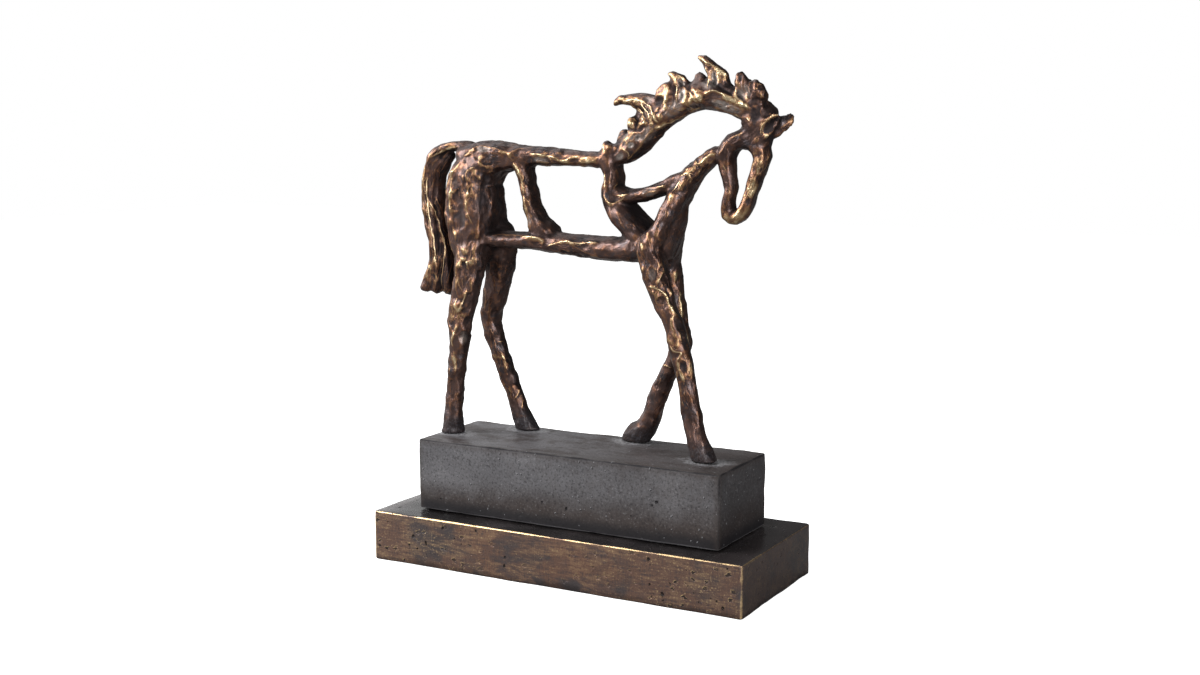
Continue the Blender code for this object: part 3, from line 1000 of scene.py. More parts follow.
@dataclass(frozen=True)
class Scoop:
    """A press of a thumb or spoon with a raised rim, or a boss where depth is negative.

    turn and lit are in degrees, from +X towards +Z. gold is on the rim and brightest towards lit, a painted
    highlight on its lit side; silver_and_sheen, pale patina and painted sheen, and shade are inside it.
    """

    centre: tuple[float, float]
    reach: float
    width: float
    turn: float
    depth: float
    rim: float = 0.3
    gold: float = 0.3
    silver_and_sheen: float = 0.0
    shade: float = 0.0
    wall: float = 1.3
    lit: float = 140.0

    def press(self, patch: "Patch") -> np.ndarray:
        """Press the scoop and lay its paints.

        Args:
            patch: The skin to press.

        Returns:
            How far it raises each vertex of the patch, in millimetres.
        """
        turn, lit = math.radians(self.turn), math.radians(self.lit)
        gap = patch.flat + 0.5 * patch.wander - np.array(self.centre)
        long = (gap[:, 0] * math.cos(turn) + gap[:, 1] * math.sin(turn)) / self.reach
        wide = (gap[:, 1] * math.cos(turn) - gap[:, 0] * math.sin(turn)) / self.width
        radius = np.hypot(long, wide)
        dish = np.clip(1.0 - radius**2, 0.0, 1.0)
        rim_place, rim_width, line_place = 1.08, 0.20, 1.05
        rim = np.exp(-(((radius - rim_place) / rim_width) ** 2))
        inside = ease(-radius, -0.98, -0.74)
        # inside: pale patina and painted sheen, and shade
        patch.tint("silver_and_sheen", self.silver_and_sheen * inside)
        patch.tint("shade", self.shade * inside)
        offset = (radius - line_place) * math.sqrt(self.reach * self.width)
        # the rim's gold line fades in towards lit: a painted highlight on the lit side
        away = np.maximum(np.hypot(*gap.T), 0.1)
        arc = ease((gap[:, 0] * math.cos(lit) + gap[:, 1] * math.sin(lit)) / away, -0.35, 0.55)
        near = arc * (1.0 - ease(np.abs(offset), 1.2, 2.6))
        patch.scribe(offset, 0.9 * self.gold * near * patch.broken)
        return 0.8 * self.rim * rim * arc * patch.broken - self.depth * dish**self.wall


STROKES: dict[Skin, tuple[Stroke, ...]] = {
    Skin.HAUNCH: (
        # the hook, the long broken ridge, the brow and the soft channels between
        Stroke(((-109, 381), (-111, 377), (-110, 373), (-107, 372)), 1.2, 1.0, 1.0),
        Stroke(((-123, 363), (-120, 368), (-115, 370)), 1.1, 0.8, 0.8),
        Stroke(((-115, 369), (-119, 360), (-122, 353), (-120, 346), (-123, 337)), 2.8, 1.2, 1.0),
        Stroke(((-123, 337), (-123, 329), (-118, 321), (-116, 316)), 2.4, 1.0, 0.9),
        Stroke(((-140, 348), (-139, 337), (-136, 324)), 3.2, 0.3, 0.45),
        # a shallow channel, painted with shade to widen the shaded inner face of the haunch
        Stroke(((-104, 362), (-108, 352), (-108, 334), (-106, 318), (-100, 310)), 4.6, -0.4),
        Stroke(((-133, 374), (-137, 367), (-143, 359), (-149, 348), (-147, 343)), 1.6, 0.8, 0.6),
        Stroke(((-129, 379), (-123, 384), (-113, 389), (-105, 388), (-94, 386)), 1.5, 0.7, 0.5),
        Stroke(((-94, 386), (-83, 382), (-74, 379)), 1.3, 0.6, 0.4),
        Stroke(((-129, 379), (-119, 383), (-117, 385)), 1.0, 0.6, 0.5),
        Stroke(((-135, 355), (-130, 338), (-129, 322), (-127, 312)), 4.0, -1.5),
        Stroke(((-105, 369), (-108, 355), (-110, 339), (-106, 323)), 3.4, -1.0),
        Stroke(((-141, 345), (-140, 328), (-138, 314)), 2.6, 0.7, 0.3),
        Stroke(((-138, 314), (-135, 304)), 1.6, 0.8, 0.6),
        Stroke(((-132, 295), (-131, 288), (-127, 283), (-122, 284)), 1.0, 0.9, 0.6),
        Stroke(((-150, 307), (-147, 299), (-141, 290)), 1.0, 0.6, 0.4),
    ),
    Skin.TAIL: (
        # fine strands on the outer lock and a deep parting before the inner one
        Stroke(((-174, 377), (-165, 382), (-155, 386), (-142, 388)), 0.7, 0.5, 0.7),
        Stroke(((-183, 364), (-183, 336), (-181, 320)), 0.7, 0.4, 0.5),
        Stroke(((-182, 332), (-179, 312), (-175, 294), (-176, 272), (-179, 262)), 0.6, 0.3, 0.3),
        Stroke(((-174, 340), (-166, 318), (-159, 296), (-158, 272), (-160, 256)), 0.6, 0.4, 0.35),
        Stroke(((-175, 322), (-169, 304), (-168, 286), (-169, 268)), 0.6, -0.6),
        Stroke(((-168, 284), (-169, 268), (-172, 260)), 0.6, 0.3, 0.3),
        Stroke(((-179, 358), (-180, 341), (-177, 317), (-172, 296), (-171, 276)), 0.7, 0.5, 0.85),
        Stroke(((-177, 334), (-170, 313), (-164, 296), (-164, 277), (-167, 254)), 0.7, 0.5, 0.75),
        Stroke(((-158, 378), (-168, 364), (-169, 344), (-165, 320), (-161, 301), (-157, 262)), 2.2, -0.8),
        Stroke(
            ((-161, 362), (-163, 344), (-159, 322), (-155, 302), (-152, 280), (-152, 264)), 1.4, 0.4, 0.25
        ),
    ),
    Skin.BARS: (
        # back, withers and belly
        Stroke(((-61, 382), (-43, 381), (-32, 378), (-25, 375), (-20, 378), (-8, 380)), 1.5, 0.8, 0.9),
        Stroke(((-8, 378), (10, 377)), 3.6, 0.3, 0.75),
        Stroke(((-76, 374), (-84, 383), (-67, 387)), 1.2, 0.6, 0.4),
        Stroke(((-94, 381), (-78, 379), (-62, 378)), 4.2, 0.2, 0.5),
        Stroke(((-78, 373), (-73, 366), (-68, 355), (-67, 345)), 1.3, 0.9, 1.0),
        Stroke(((-67, 345), (-64, 330), (-62, 320), (-61, 312)), 1.1, 0.8, 0.6),
        Stroke(((-68, 305), (-58, 307), (-43, 302)), 2.2, 0.9, 1.0),
        Stroke(((-40, 298), (-28, 302), (-19, 304), (-8, 301), (1, 303), (13, 303)), 1.5, 1.0, 0.95),
        Stroke(((-19, 304), (-4, 295), (13, 291)), 1.6, 0.6, 0.4),
        Stroke(((-100, 306), (-82, 307), (-66, 307)), 0.9, 0.5, 0.4),
        # shoulder strut, its knee and the bar to the neck
        Stroke(((17, 347), (19, 342), (27, 338), (33, 341), (39, 346)), 1.4, 0.9, 0.65),
        Stroke(((29, 346), (41, 347)), 1.2, 0.6, 0.8),
        Stroke(((17, 366), (18, 352)), 0.9, 0.5, 0.8),
        Stroke(((26, 369), (26, 353)), 0.9, 0.6, 0.9),
        Stroke(((34, 327), (42, 316)), 1.3, 0.6, 0.35),
        Stroke(((46, 345), (59, 349), (74, 352)), 1.0, 0.5, 0.3),
        Stroke(((69, 354), (77, 356)), 1.6, 0.6, 0.9),
    ),
    Skin.THROAT: (
        Stroke(((84, 344), (88, 349)), 2.4, 0.8, 1.0),
        Stroke(((93, 360), (87, 351)), 1.3, 0.6, 0.9),
        Stroke(((97, 360), (91, 351)), 1.0, 0.5, 0.7),
        Stroke(((92, 365), (101, 368), (102, 362)), 1.1, 0.7, 0.9),
        Stroke(((106, 378), (109, 374), (118, 383), (124, 384)), 1.1, 0.7, 0.9),
        Stroke(((100, 366), (107, 372)), 1.0, 0.6, 0.6),
    ),
    Skin.CHEST: (
        Stroke(((104, 330), (104, 313), (99, 302)), 1.6, 0.5, 0.4),
        Stroke(((61, 306), (65, 304), (64, 299)), 2.0, 1.0, 1.0),
    ),
    Skin.NEAR_LEG: (
        # hind leg
        Stroke(((-127, 281), (-130, 274)), 1.0, 0.7, 0.6),
        Stroke(((-130, 268), (-130, 261), (-126, 254)), 0.9, 0.5, 0.6),
        Stroke(((-122, 252), (-126, 241), (-131, 233)), 1.1, 0.9, 1.0),
        Stroke(((-132, 246), (-135, 237)), 1.0, 0.7, 0.8),
        Stroke(((-135, 226), (-130, 230), (-125, 231)), 2.0, 0.4, 0.4),
        Stroke(((-131, 221), (-135, 214), (-138, 206), (-137, 200)), 1.4, 0.8, 0.9),
        Stroke(((-136, 195), (-135, 187), (-135, 177)), 1.2, 0.6, 0.8),
        Stroke(((-128, 194), (-125, 192), (-128, 189)), 0.9, 0.5, 0.7),
        Stroke(((-133, 156), (-142, 143), (-140, 133)), 1.6, 0.4, 0.25),
        # foreleg
        Stroke(((82, 303), (84, 290), (81, 277), (79, 270)), 1.2, 0.9, 0.8),
        Stroke(((85, 305), (87, 290), (92, 275)), 1.0, 0.7, 0.6),
        Stroke(((72, 268), (80, 267), (87, 261), (89, 255), (94, 246), (100, 240)), 1.2, 0.9, 0.9),
        Stroke(((95, 245), (93, 240), (93, 234), (96, 229)), 1.0, 0.8, 0.8),
        Stroke(((100, 225), (100, 216)), 2.0, 0.6, 0.7),
        Stroke(((93, 217), (97, 212), (104, 212), (103, 210), (100, 204)), 1.4, 0.9, 1.0),
        Stroke(((100, 204), (101, 196), (105, 188)), 1.1, 0.8, 1.0),
        Stroke(((107, 222), (109, 215), (109, 207), (111, 197), (114, 185)), 1.0, 0.9, 0.9),
        Stroke(((114, 185), (117, 175), (118, 160), (122, 150)), 1.0, 0.8, 0.8),
    ),
    Skin.FAR_LEG: (
        # hind leg, the side between the legs
        Stroke(((-128, 252), (-126, 240), (-130, 230)), 2.2, 0.6, 0.5),
        Stroke(((-117, 219), (-114, 212)), 0.9, 0.5, 0.5),
        Stroke(((-117, 200), (-109, 199), (-107, 195)), 0.8, 0.6, 0.7),
        Stroke(((-114, 189), (-110, 181), (-107, 173)), 0.8, 0.6, 0.5),
        Stroke(((-106, 184), (-102, 176), (-101, 171), (-97, 165)), 0.8, 0.6, 0.6),
        Stroke(((-97, 154), (-95, 151), (-99, 144)), 0.9, 0.5, 0.6),
        Stroke(((-92, 154), (-92, 145), (-91, 135)), 0.9, 0.4, 0.5),
        # foreleg, the side between the legs
        Stroke(((76, 279), (76, 269)), 0.9, 0.7, 1.0),
        Stroke(((79, 261), (81, 246), (82, 232), (85, 221), (88, 208)), 1.0, 0.9, 1.0),
        Stroke(((62, 191), (67, 191), (72, 189)), 0.9, 0.6, 0.9),
        Stroke(((62, 179), (58, 172)), 0.9, 0.4, 0.4),
    ),
    Skin.MANE: (
        # the low spike, the strands under it, the strap along the lower edge
        Stroke(((30, 429), (42, 431), (52, 429), (62, 424)), 1.8, 0.9, 1.0),
        Stroke(((38, 426), (45, 422), (50, 418)), 1.0, 0.6, 0.7),
        Stroke(((50, 427), (56, 422), (62, 417), (64, 408)), 1.0, 1.0, 1.0),
        Stroke(((46, 424), (52, 418), (57, 414)), 0.9, 0.9, 0.8),
        Stroke(((60, 424), (66, 418), (67, 411)), 0.9, 0.9, 0.8),
        Stroke(((49, 423), (55, 417), (60, 411)), 0.9, -1.2),
        Stroke(((38, 413), (42, 415), (46, 412)), 1.1, 0.9, 1.0),
        Stroke(((47, 414), (47, 404)), 1.1, -1.8),
        Stroke(((49, 414), (54, 415), (58, 411), (57, 407)), 1.0, 0.9, 0.9),
        Stroke(((36, 405), (46, 404), (56, 405)), 1.2, -1.4),
        Stroke(((14, 391), (14.5, 387), (18, 384)), 1.2, 0.9, 0.6),
        Stroke(((28, 392), (29, 385), (24, 382)), 1.3, -1.2),
        Stroke(((35, 387), (39, 386), (41, 383), (39, 380)), 1.2, 0.8, 0.9),
        Stroke(((36, 375), (52, 384), (64, 397), (80, 408), (96, 415), (109, 422)), 3.4, -1.1),
        Stroke(((37, 378), (42, 381), (50, 388), (56, 396), (66, 406)), 1.3, 0.9, 0.6),
        Stroke(((66, 405), (79, 411), (94, 417), (109, 424)), 1.4, 1.0, 1.0),
        Stroke(((63, 396), (73, 403), (84, 409), (96, 414)), 0.7, 0.5, 0.4),
        Stroke(((68, 417), (67.5, 413), (70, 410.5)), 1.1, 0.9, 1.0),
        Stroke(((98, 438), (104, 432), (108, 427)), 0.9, 0.6, 0.8),
        Stroke(((102, 440), (108, 434), (112, 428)), 0.9, 0.6, 0.9),
        Stroke(((94, 430), (99, 425), (102, 421)), 0.9, 0.6, 0.8),
        Stroke(((84, 424), (90, 421), (97, 423)), 1.0, 0.7, 0.7),
        Stroke(((80, 420), (92, 424), (104, 430), (114, 434)), 3.6, 0.3, 0.75),
        # the middle spike and its lock
        Stroke(((76, 443), (74, 433)), 1.2, 0.7, 0.6),
        Stroke(((79, 443), (77, 432), (77, 422)), 1.7, 1.3, 1.0),
        Stroke(((82, 442), (85, 436), (84, 426)), 1.1, -1.8),
        Stroke(((85, 447), (87, 440), (88, 428)), 1.2, 0.9, 1.0),
        Stroke(((98, 444), (100, 436), (98, 428)), 1.2, -1.3),
        # the tall spike, the bright ridge at its foot and the strap to the skull
        Stroke(((107, 466), (112, 463), (118, 459.5), (125, 456), (131, 450)), 1.8, 0.9, 1.0),
        Stroke(((112, 459), (115, 451), (117, 441)), 1.3, 0.8, 1.0),
        Stroke(((128, 454), (132, 445)), 0.8, 0.4, 0.6),
        Stroke(((132, 451), (136, 443)), 0.8, 0.4, 0.5),
        Stroke(((115, 435), (123, 439), (134, 433), (143, 429), (156, 424)), 1.9, 1.4, 1.0),
        Stroke(((124, 443), (133, 439), (141, 434)), 1.4, -1.3),
        Stroke(((118, 428), (130, 424)), 1.4, -0.6),
        Stroke(((123, 423), (136, 419), (150, 415)), 0.9, 0.5, 0.4),
        # crown, roll and poll
        Stroke(((142.5, 440), (143, 432), (147, 430), (155, 425)), 1.6, 0.9, 1.0),
        Stroke(((145, 446), (151, 437), (155, 430)), 5.0, 0.3, 1.0),
        Stroke(((139, 444), (139.5, 436)), 1.2, -1.4),
        Stroke(((157, 446), (157, 438), (155, 431)), 1.2, -1.4),
        Stroke(((161, 444), (167, 442), (168.5, 436)), 2.2, 0.5, 0.6),
        Stroke(((143, 431), (147, 428), (154, 425)), 3.0, 0.3, 1.0),
        Stroke(((156, 430), (163, 431), (170, 429)), 1.2, -1.3),
        Stroke(((153, 415), (157, 412)), 2.0, 0.4, 1.0),
    ),
    Skin.HEAD: (
        # jaw, nose and muzzle, worn smooth
        Stroke(((131, 375), (134, 369)), 2.2, 0.2, 0.8),
        Stroke(((136, 356), (138, 349)), 2.0, 0.2, 0.8),
        # a shallow groove, painted with shade on the inner half of the jaw
        Stroke(((139, 374), (141, 362), (142, 352), (142, 342)), 2.6, -0.5),
        Stroke(((164, 374), (161, 361), (158, 350)), 2.8, 0.2, 0.8),
        Stroke(((138, 331), (146, 331), (153, 334), (157, 339)), 3.0, 0.2, 0.85),
        Stroke(((159, 367), (156, 354), (152, 345)), 2.2, 0.2, 0.7),
        Stroke(((136, 396), (142, 399), (150, 403)), 1.4, 0.4, 0.5),
        Stroke(((128, 383), (131, 389), (135, 393)), 1.4, 0.4, 0.4),
    ),
    Skin.EAR: (
        Stroke(((185, 418), (179, 416.5), (171.5, 412), (166.5, 406), (167, 401)), 1.1, 0.5, 1.0),
    ),
}

SCOOPS: dict[Skin, tuple[Scoop, ...]] = {
    Skin.HAUNCH: (
        Scoop((-122, 376), 8.0, 5.0, 30, 0.9),
        Scoop((-100, 376), 10.0, 7.0, 0, 0.8),
        Scoop((-109, 386), 8.0, 3.0, 0, 0.3, 0.0, 0.0, silver_and_sheen=0.55),
        Scoop((-137, 355), 4.5, 3.5, 70, 0.5, 0.0, 0.0, silver_and_sheen=0.1, shade=0.5),
        Scoop((-127, 320), 7.0, 3.5, 80, 0.5, 0.0, 0.0, silver_and_sheen=0.15, shade=0.4),
        Scoop((-119, 362), 5.5, 3.4, 70, 0.9, 0.1, 0.1, shade=0.3),
        Scoop((-139, 356), 8.0, 4.5, 70, 0.8),
        Scoop((-125, 291), 7.0, 5.5, 80, -0.4, 0.2, 0.3, silver_and_sheen=0.2),
        Scoop((-116, 300), 9.0, 6.0, 80, 0.7),
    ),
    Skin.BARS: (
        Scoop((-50, 376.5), 8.0, 3.4, -8, 0.8, silver_and_sheen=0.8),
        Scoop((-14, 377), 6.0, 2.6, 0, 0.7, gold=0.7, shade=0.6),
        Scoop((-2, 297), 11.0, 5.0, -12, 0.7),
        Scoop((-62, 322), 8.0, 3.0, 108, 0.6, silver_and_sheen=0.5),
        Scoop((62, 350), 10.0, 4.0, 12, 0.6, silver_and_sheen=0.3),
    ),
    Skin.CHEST: (
        Scoop((98, 317), 7.0, 4.0, 80, 1.4, shade=0.4),
        Scoop((84, 318), 12.0, 7.0, 70, 0.8),
    ),
    Skin.NEAR_LEG: (
        Scoop((-118, 270), 11.0, 5.5, 95, 1.0),
        Scoop((-122, 222), 8.0, 5.0, 80, 0.9),
        Scoop((-127, 209), 7.0, 3.6, 85, 0.8, silver_and_sheen=0.4),
        Scoop((-140, 160), 8.0, 5.0, 95, 0.6),
        Scoop((74, 279), 6.5, 4.0, 95, 1.0, 0.3, 0.45, silver_and_sheen=0.3),
        Scoop((76, 263), 3.0, 2.4, 0, -0.9, 0.3, 0.8),
        Scoop((83, 256), 5.0, 4.0, 40, 1.2, 0.4, 0.5, shade=0.3),
        Scoop((98, 236), 6.0, 2.6, 110, 1.2, 0.3, 0.6, shade=0.7),
        Scoop((105, 199), 6.5, 3.2, 100, 1.1, 0.3, 0.6, shade=0.6),
        Scoop((112, 159), 8.0, 4.0, 100, 0.8),
        Scoop((121, 139), 7.0, 5.0, 110, 0.6, shade=0.4),
    ),
    Skin.MANE: (
        Scoop((70, 429), 6.5, 5.0, 20, 1.8, 0.3, 0.3, shade=0.8),
        Scoop((90, 445.5), 5.5, 3.6, -60, 1.6, 0.7, 0.9, silver_and_sheen=1.0),
        Scoop((93, 434), 6.5, 3.6, 95, 1.5, 0.6, 0.8, silver_and_sheen=1.0),
        Scoop((42, 410.5), 4.0, 3.6, 0, -1.6),
        Scoop((53, 410), 4.5, 4.0, 0, -1.5),
        Scoop((40, 397), 8.0, 7.0, 45, -1.5, 0.2, 0.1, silver_and_sheen=0.5, shade=0.3),
        Scoop((24, 393), 7.0, 4.0, 10, 0.4, 0.0, 0.0, shade=0.6),
        Scoop((37, 399.5), 3.6, 2.6, 45, 0.9, 0.3, 0.5, silver_and_sheen=1.0),
        Scoop((50, 398), 4.5, 3.0, 60, 1.1, 0.3, 0.5, silver_and_sheen=0.8),
        Scoop((43, 391), 4.0, 3.0, 30, 0.9, 0.3, 0.6, silver_and_sheen=1.0),
        Scoop((21, 389), 6.0, 4.0, 0, -1.2),
        Scoop((31, 380.5), 5.0, 3.5, 30, 1.0, silver_and_sheen=0.6),
        Scoop((72, 415), 4.5, 3.4, 60, -1.3, 0.2, 0.5),
        Scoop((108, 449.5), 4.5, 4.0, 0, -1.0, shade=0.4),
        Scoop((121.5, 448.5), 9.0, 3.4, 100, 1.8, 0.7, 0.9, silver_and_sheen=1.0),
        Scoop((110, 432), 6.0, 4.0, 80, -0.9, 0.2, 0.8),
        Scoop((151, 438), 5.0, 3.6, -50, 0.7, 0.2, 0.3, silver_and_sheen=0.4),
        Scoop((134, 424.5), 16.0, 4.5, -18, 0.4, 0.0, 0.0, silver_and_sheen=0.9),
        Scoop((104, 424), 9.0, 4.5, 20, 0.3, 0.0, 0.0, silver_and_sheen=0.6),
        Scoop((84, 423), 12.0, 7.0, 25, 0.1, 0.0, 0.0, silver_and_sheen=0.5),
        Scoop((116, 447), 9.0, 7.0, 100, 0.1, 0.0, 0.0, silver_and_sheen=0.4),
        Scoop((60, 401), 12.0, 6.0, 45, 0.1, 0.0, 0.0, silver_and_sheen=0.4),
        Scoop((149, 436), 8.0, 8.0, 0, 0.1, 0.0, 0.0, silver_and_sheen=0.5),
        Scoop((147, 448), 4.0, 3.0, 60, 0.9, 0.4, 0.5, shade=0.2),
        Scoop((158, 427), 5.5, 3.8, 20, 1.2, 0.3, 0.1, shade=0.6),
        Scoop((162, 418), 7.5, 5.6, 80, 1.4, 0.3, 0.1, shade=0.9),
        Scoop((172, 421), 6.0, 6.0, 0, -1.0, shade=0.75),
        Scoop((57, 431), 6.0, 2.6, -10, 0.8, 0.3, 0.5, silver_and_sheen=0.4),
    ),
    Skin.HEAD: (
        Scoop((155, 344), 4.0, 2.5, 70, 0.4, shade=0.8),
        Scoop((164, 363), 4.0, 2.2, 80, 0.4, shade=0.7),
    ),
    Skin.EAR: (
        Scoop((177.5, 408.5), 10.5, 5.4, 40, 2.4, 0.5, 1.0, shade=1.8, wall=0.7),
    ),
}


class Clay:
    """A piece's skin as arrays in millimetres, worked vertex by vertex like wax.

    line is how far each vertex is from the nearest drawn line, and broken how whole a drawn line is there.
    """

    def __init__(self, piece: bpy.types.Object) -> None:
        """Read a skin.

        Args:
            piece: The piece whose skin it is.
        """
        self.piece = piece
        mesh = piece.data
        self.points = np.empty(len(mesh.vertices) * 3)
        mesh.vertices.foreach_get("co", self.points)
        self.points = self.points.reshape(-1, 3) / MM
        edges = np.empty(len(mesh.edges) * 2, np.int64)
        mesh.edges.foreach_get("vertices", edges)
        self.starts, self.ends = edges.reshape(-1, 2).T
        count = len(self.points)
        self.degree = np.bincount(self.starts, minlength=count) + np.bincount(self.ends, minlength=count)
        self.paint = {name: np.zeros(count) for name in ("gold", "silver_and_sheen", "shade")}
        self.line = np.full(count, NO_LINE)
        self.line_gold = np.zeros(count)
        uneven = soft_noise(self.points, size=13.0, salt=29.0) + soft_noise(self.points, size=4.5, salt=19.0)
        self.broken = np.clip(0.62 + 0.75 * uneven, 0.12, 1.0)
        self.normals = np.empty_like(self.points)
        self.read_normals()

    def tree(self) -> BVHTree:
        """The skin as a tree to look things up in, in millimetres."""
        faces = [tuple(polygon.vertices) for polygon in self.piece.data.polygons]
        return BVHTree.FromPolygons([Vector(row) for row in self.points], faces)

    def read_normals(self) -> None:
        """Write the points back and read the normals of the skin they make."""
        mesh = self.piece.data
        mesh.vertices.foreach_set("co", (self.points * MM).astype(np.float32).ravel())
        mesh.update()
        normals = np.empty(len(mesh.vertices) * 3, np.float32)
        mesh.vertex_normals.foreach_get("vector", normals)
        self.normals = normals.reshape(-1, 3).astype(float)

    def averaged(self, values: np.ndarray, rounds: int) -> np.ndarray:
        """Average a value over neighbouring vertices.

        Args:
            values: One number for each vertex.
            rounds: How many times.

        Returns:
            The averaged numbers.
        """
        count = len(values)
        for _ in range(rounds):
            total = np.bincount(self.starts, weights=values[self.ends], minlength=count)
            total += np.bincount(self.ends, weights=values[self.starts], minlength=count)
            values = 0.5 * values + 0.5 * total / self.degree
        return values

    def averaged_points(self, rounds: int) -> np.ndarray:
        """The points after averaging each coordinate."""
        return np.stack([self.averaged(self.points[:, axis], rounds) for axis in range(3)], axis=1)

    def soften(self, rounds: int) -> None:
        """Fair the skin, giving back what each step takes so that thin members don't shrink.

        Args:
            rounds: How many times.
        """
        give_back = 1.04
        for _ in range(rounds):
            self.points = self.averaged_points(1)
            self.points += give_back * (self.points - self.averaged_points(1))
        self.read_normals()

    def push(self, heights: np.ndarray) -> None:
        """Move each vertex along its normal."""
        self.points += self.normals * heights[:, None]
        self.read_normals()

    def convexity(self, rounds: int) -> np.ndarray:
        """How far each vertex stands above the averaged skin, in millimetres."""
        return ((self.points - self.averaged_points(rounds)) * self.normals).sum(axis=1)


class Patch:
    """The vertices of a skin that belong to one stretch and one side of it, to draw on."""

    def __init__(self, clay: Clay, facing: np.ndarray) -> None:
        """Take the vertices that face the side.

        Args:
            clay: The skin.
            facing: How squarely each of its vertices faces the side, from 0 to 1.
        """
        self.clay = clay
        self.where = np.flatnonzero(facing > 0.01)
        self.facing = facing[self.where]
        self.broken = clay.broken[self.where]
        points = clay.points[self.where]
        self.flat = points[:, (0, 2)]
        self.wander = 0.9 * np.stack([soft_noise(points, size=6.0, salt=salt) for salt in (2.2, 8.8)], axis=1)

    def tint(self, name: str, strength: np.ndarray) -> None:
        """Lay one of the paints, where it isn't stronger already."""
        paint = self.clay.paint[name]
        paint[self.where] = np.maximum(paint[self.where], strength * self.facing)

    def scribe(self, offset: np.ndarray, strength: np.ndarray) -> None:
        """Mark a thin line, where no other line is nearer.

        Args:
            offset: The distances from the line in millimetres, negative on one side of it.
            strength: How golden the line is at each vertex.
        """
        nearer = np.abs(offset) < np.abs(self.clay.line[self.where])
        self.clay.line[self.where[nearer]] = offset[nearer]
        self.clay.line_gold[self.where[nearer]] = (strength * self.facing)[nearer]


@dataclass(frozen=True)
class FlowField:
    """For each vertex its two nearest flows, how much the second counts, and its place in each.

    A place is the distance along the flow, then across it in the horse's plane, then out of that plane.
    """

    flows: tuple[Flow, ...]
    first: np.ndarray
    second: np.ndarray
    share: np.ndarray
    first_place: np.ndarray
    second_place: np.ndarray

    @classmethod
    def around(cls, points: np.ndarray, flows: tuple[Flow, ...]) -> "FlowField":
        """Find the flows that each point belongs to.

        Args:
            points: Rows of points, in millimetres.
            flows: The casting's flows.

        Returns:
            The field at those points.
        """
        tracks = [Track.along(points, np.array(flow.points, float)) for flow in flows]
        reach = np.array([track.distance for track in tracks])
        across = [(t.gap[:, 0] * t.heading[:, 2] - t.gap[:, 2] * t.heading[:, 0]) for t in tracks]
        places = np.array([np.stack([t.travelled, a, t.gap[:, 1]], axis=1) for t, a in zip(tracks, across)])
        order = np.argsort(reach, axis=0)
        first, second = order[0], order[1]
        index = np.arange(len(points))
        lead = reach[second, index] - reach[first, index]
        return cls(
            flows=flows,
            first=first,
            second=second,
            share=0.5 * np.exp(-((lead / 4.0) ** 2)),
            first_place=places[first, index],
            second_place=places[second, index],
        )

    def blend(self, name: str) -> np.ndarray:
        """A number of the flows, blended between the two nearest."""
        values = np.array([getattr(flow, name) for flow in self.flows], float)
        return values[self.first] * (1.0 - self.share) + values[self.second] * self.share


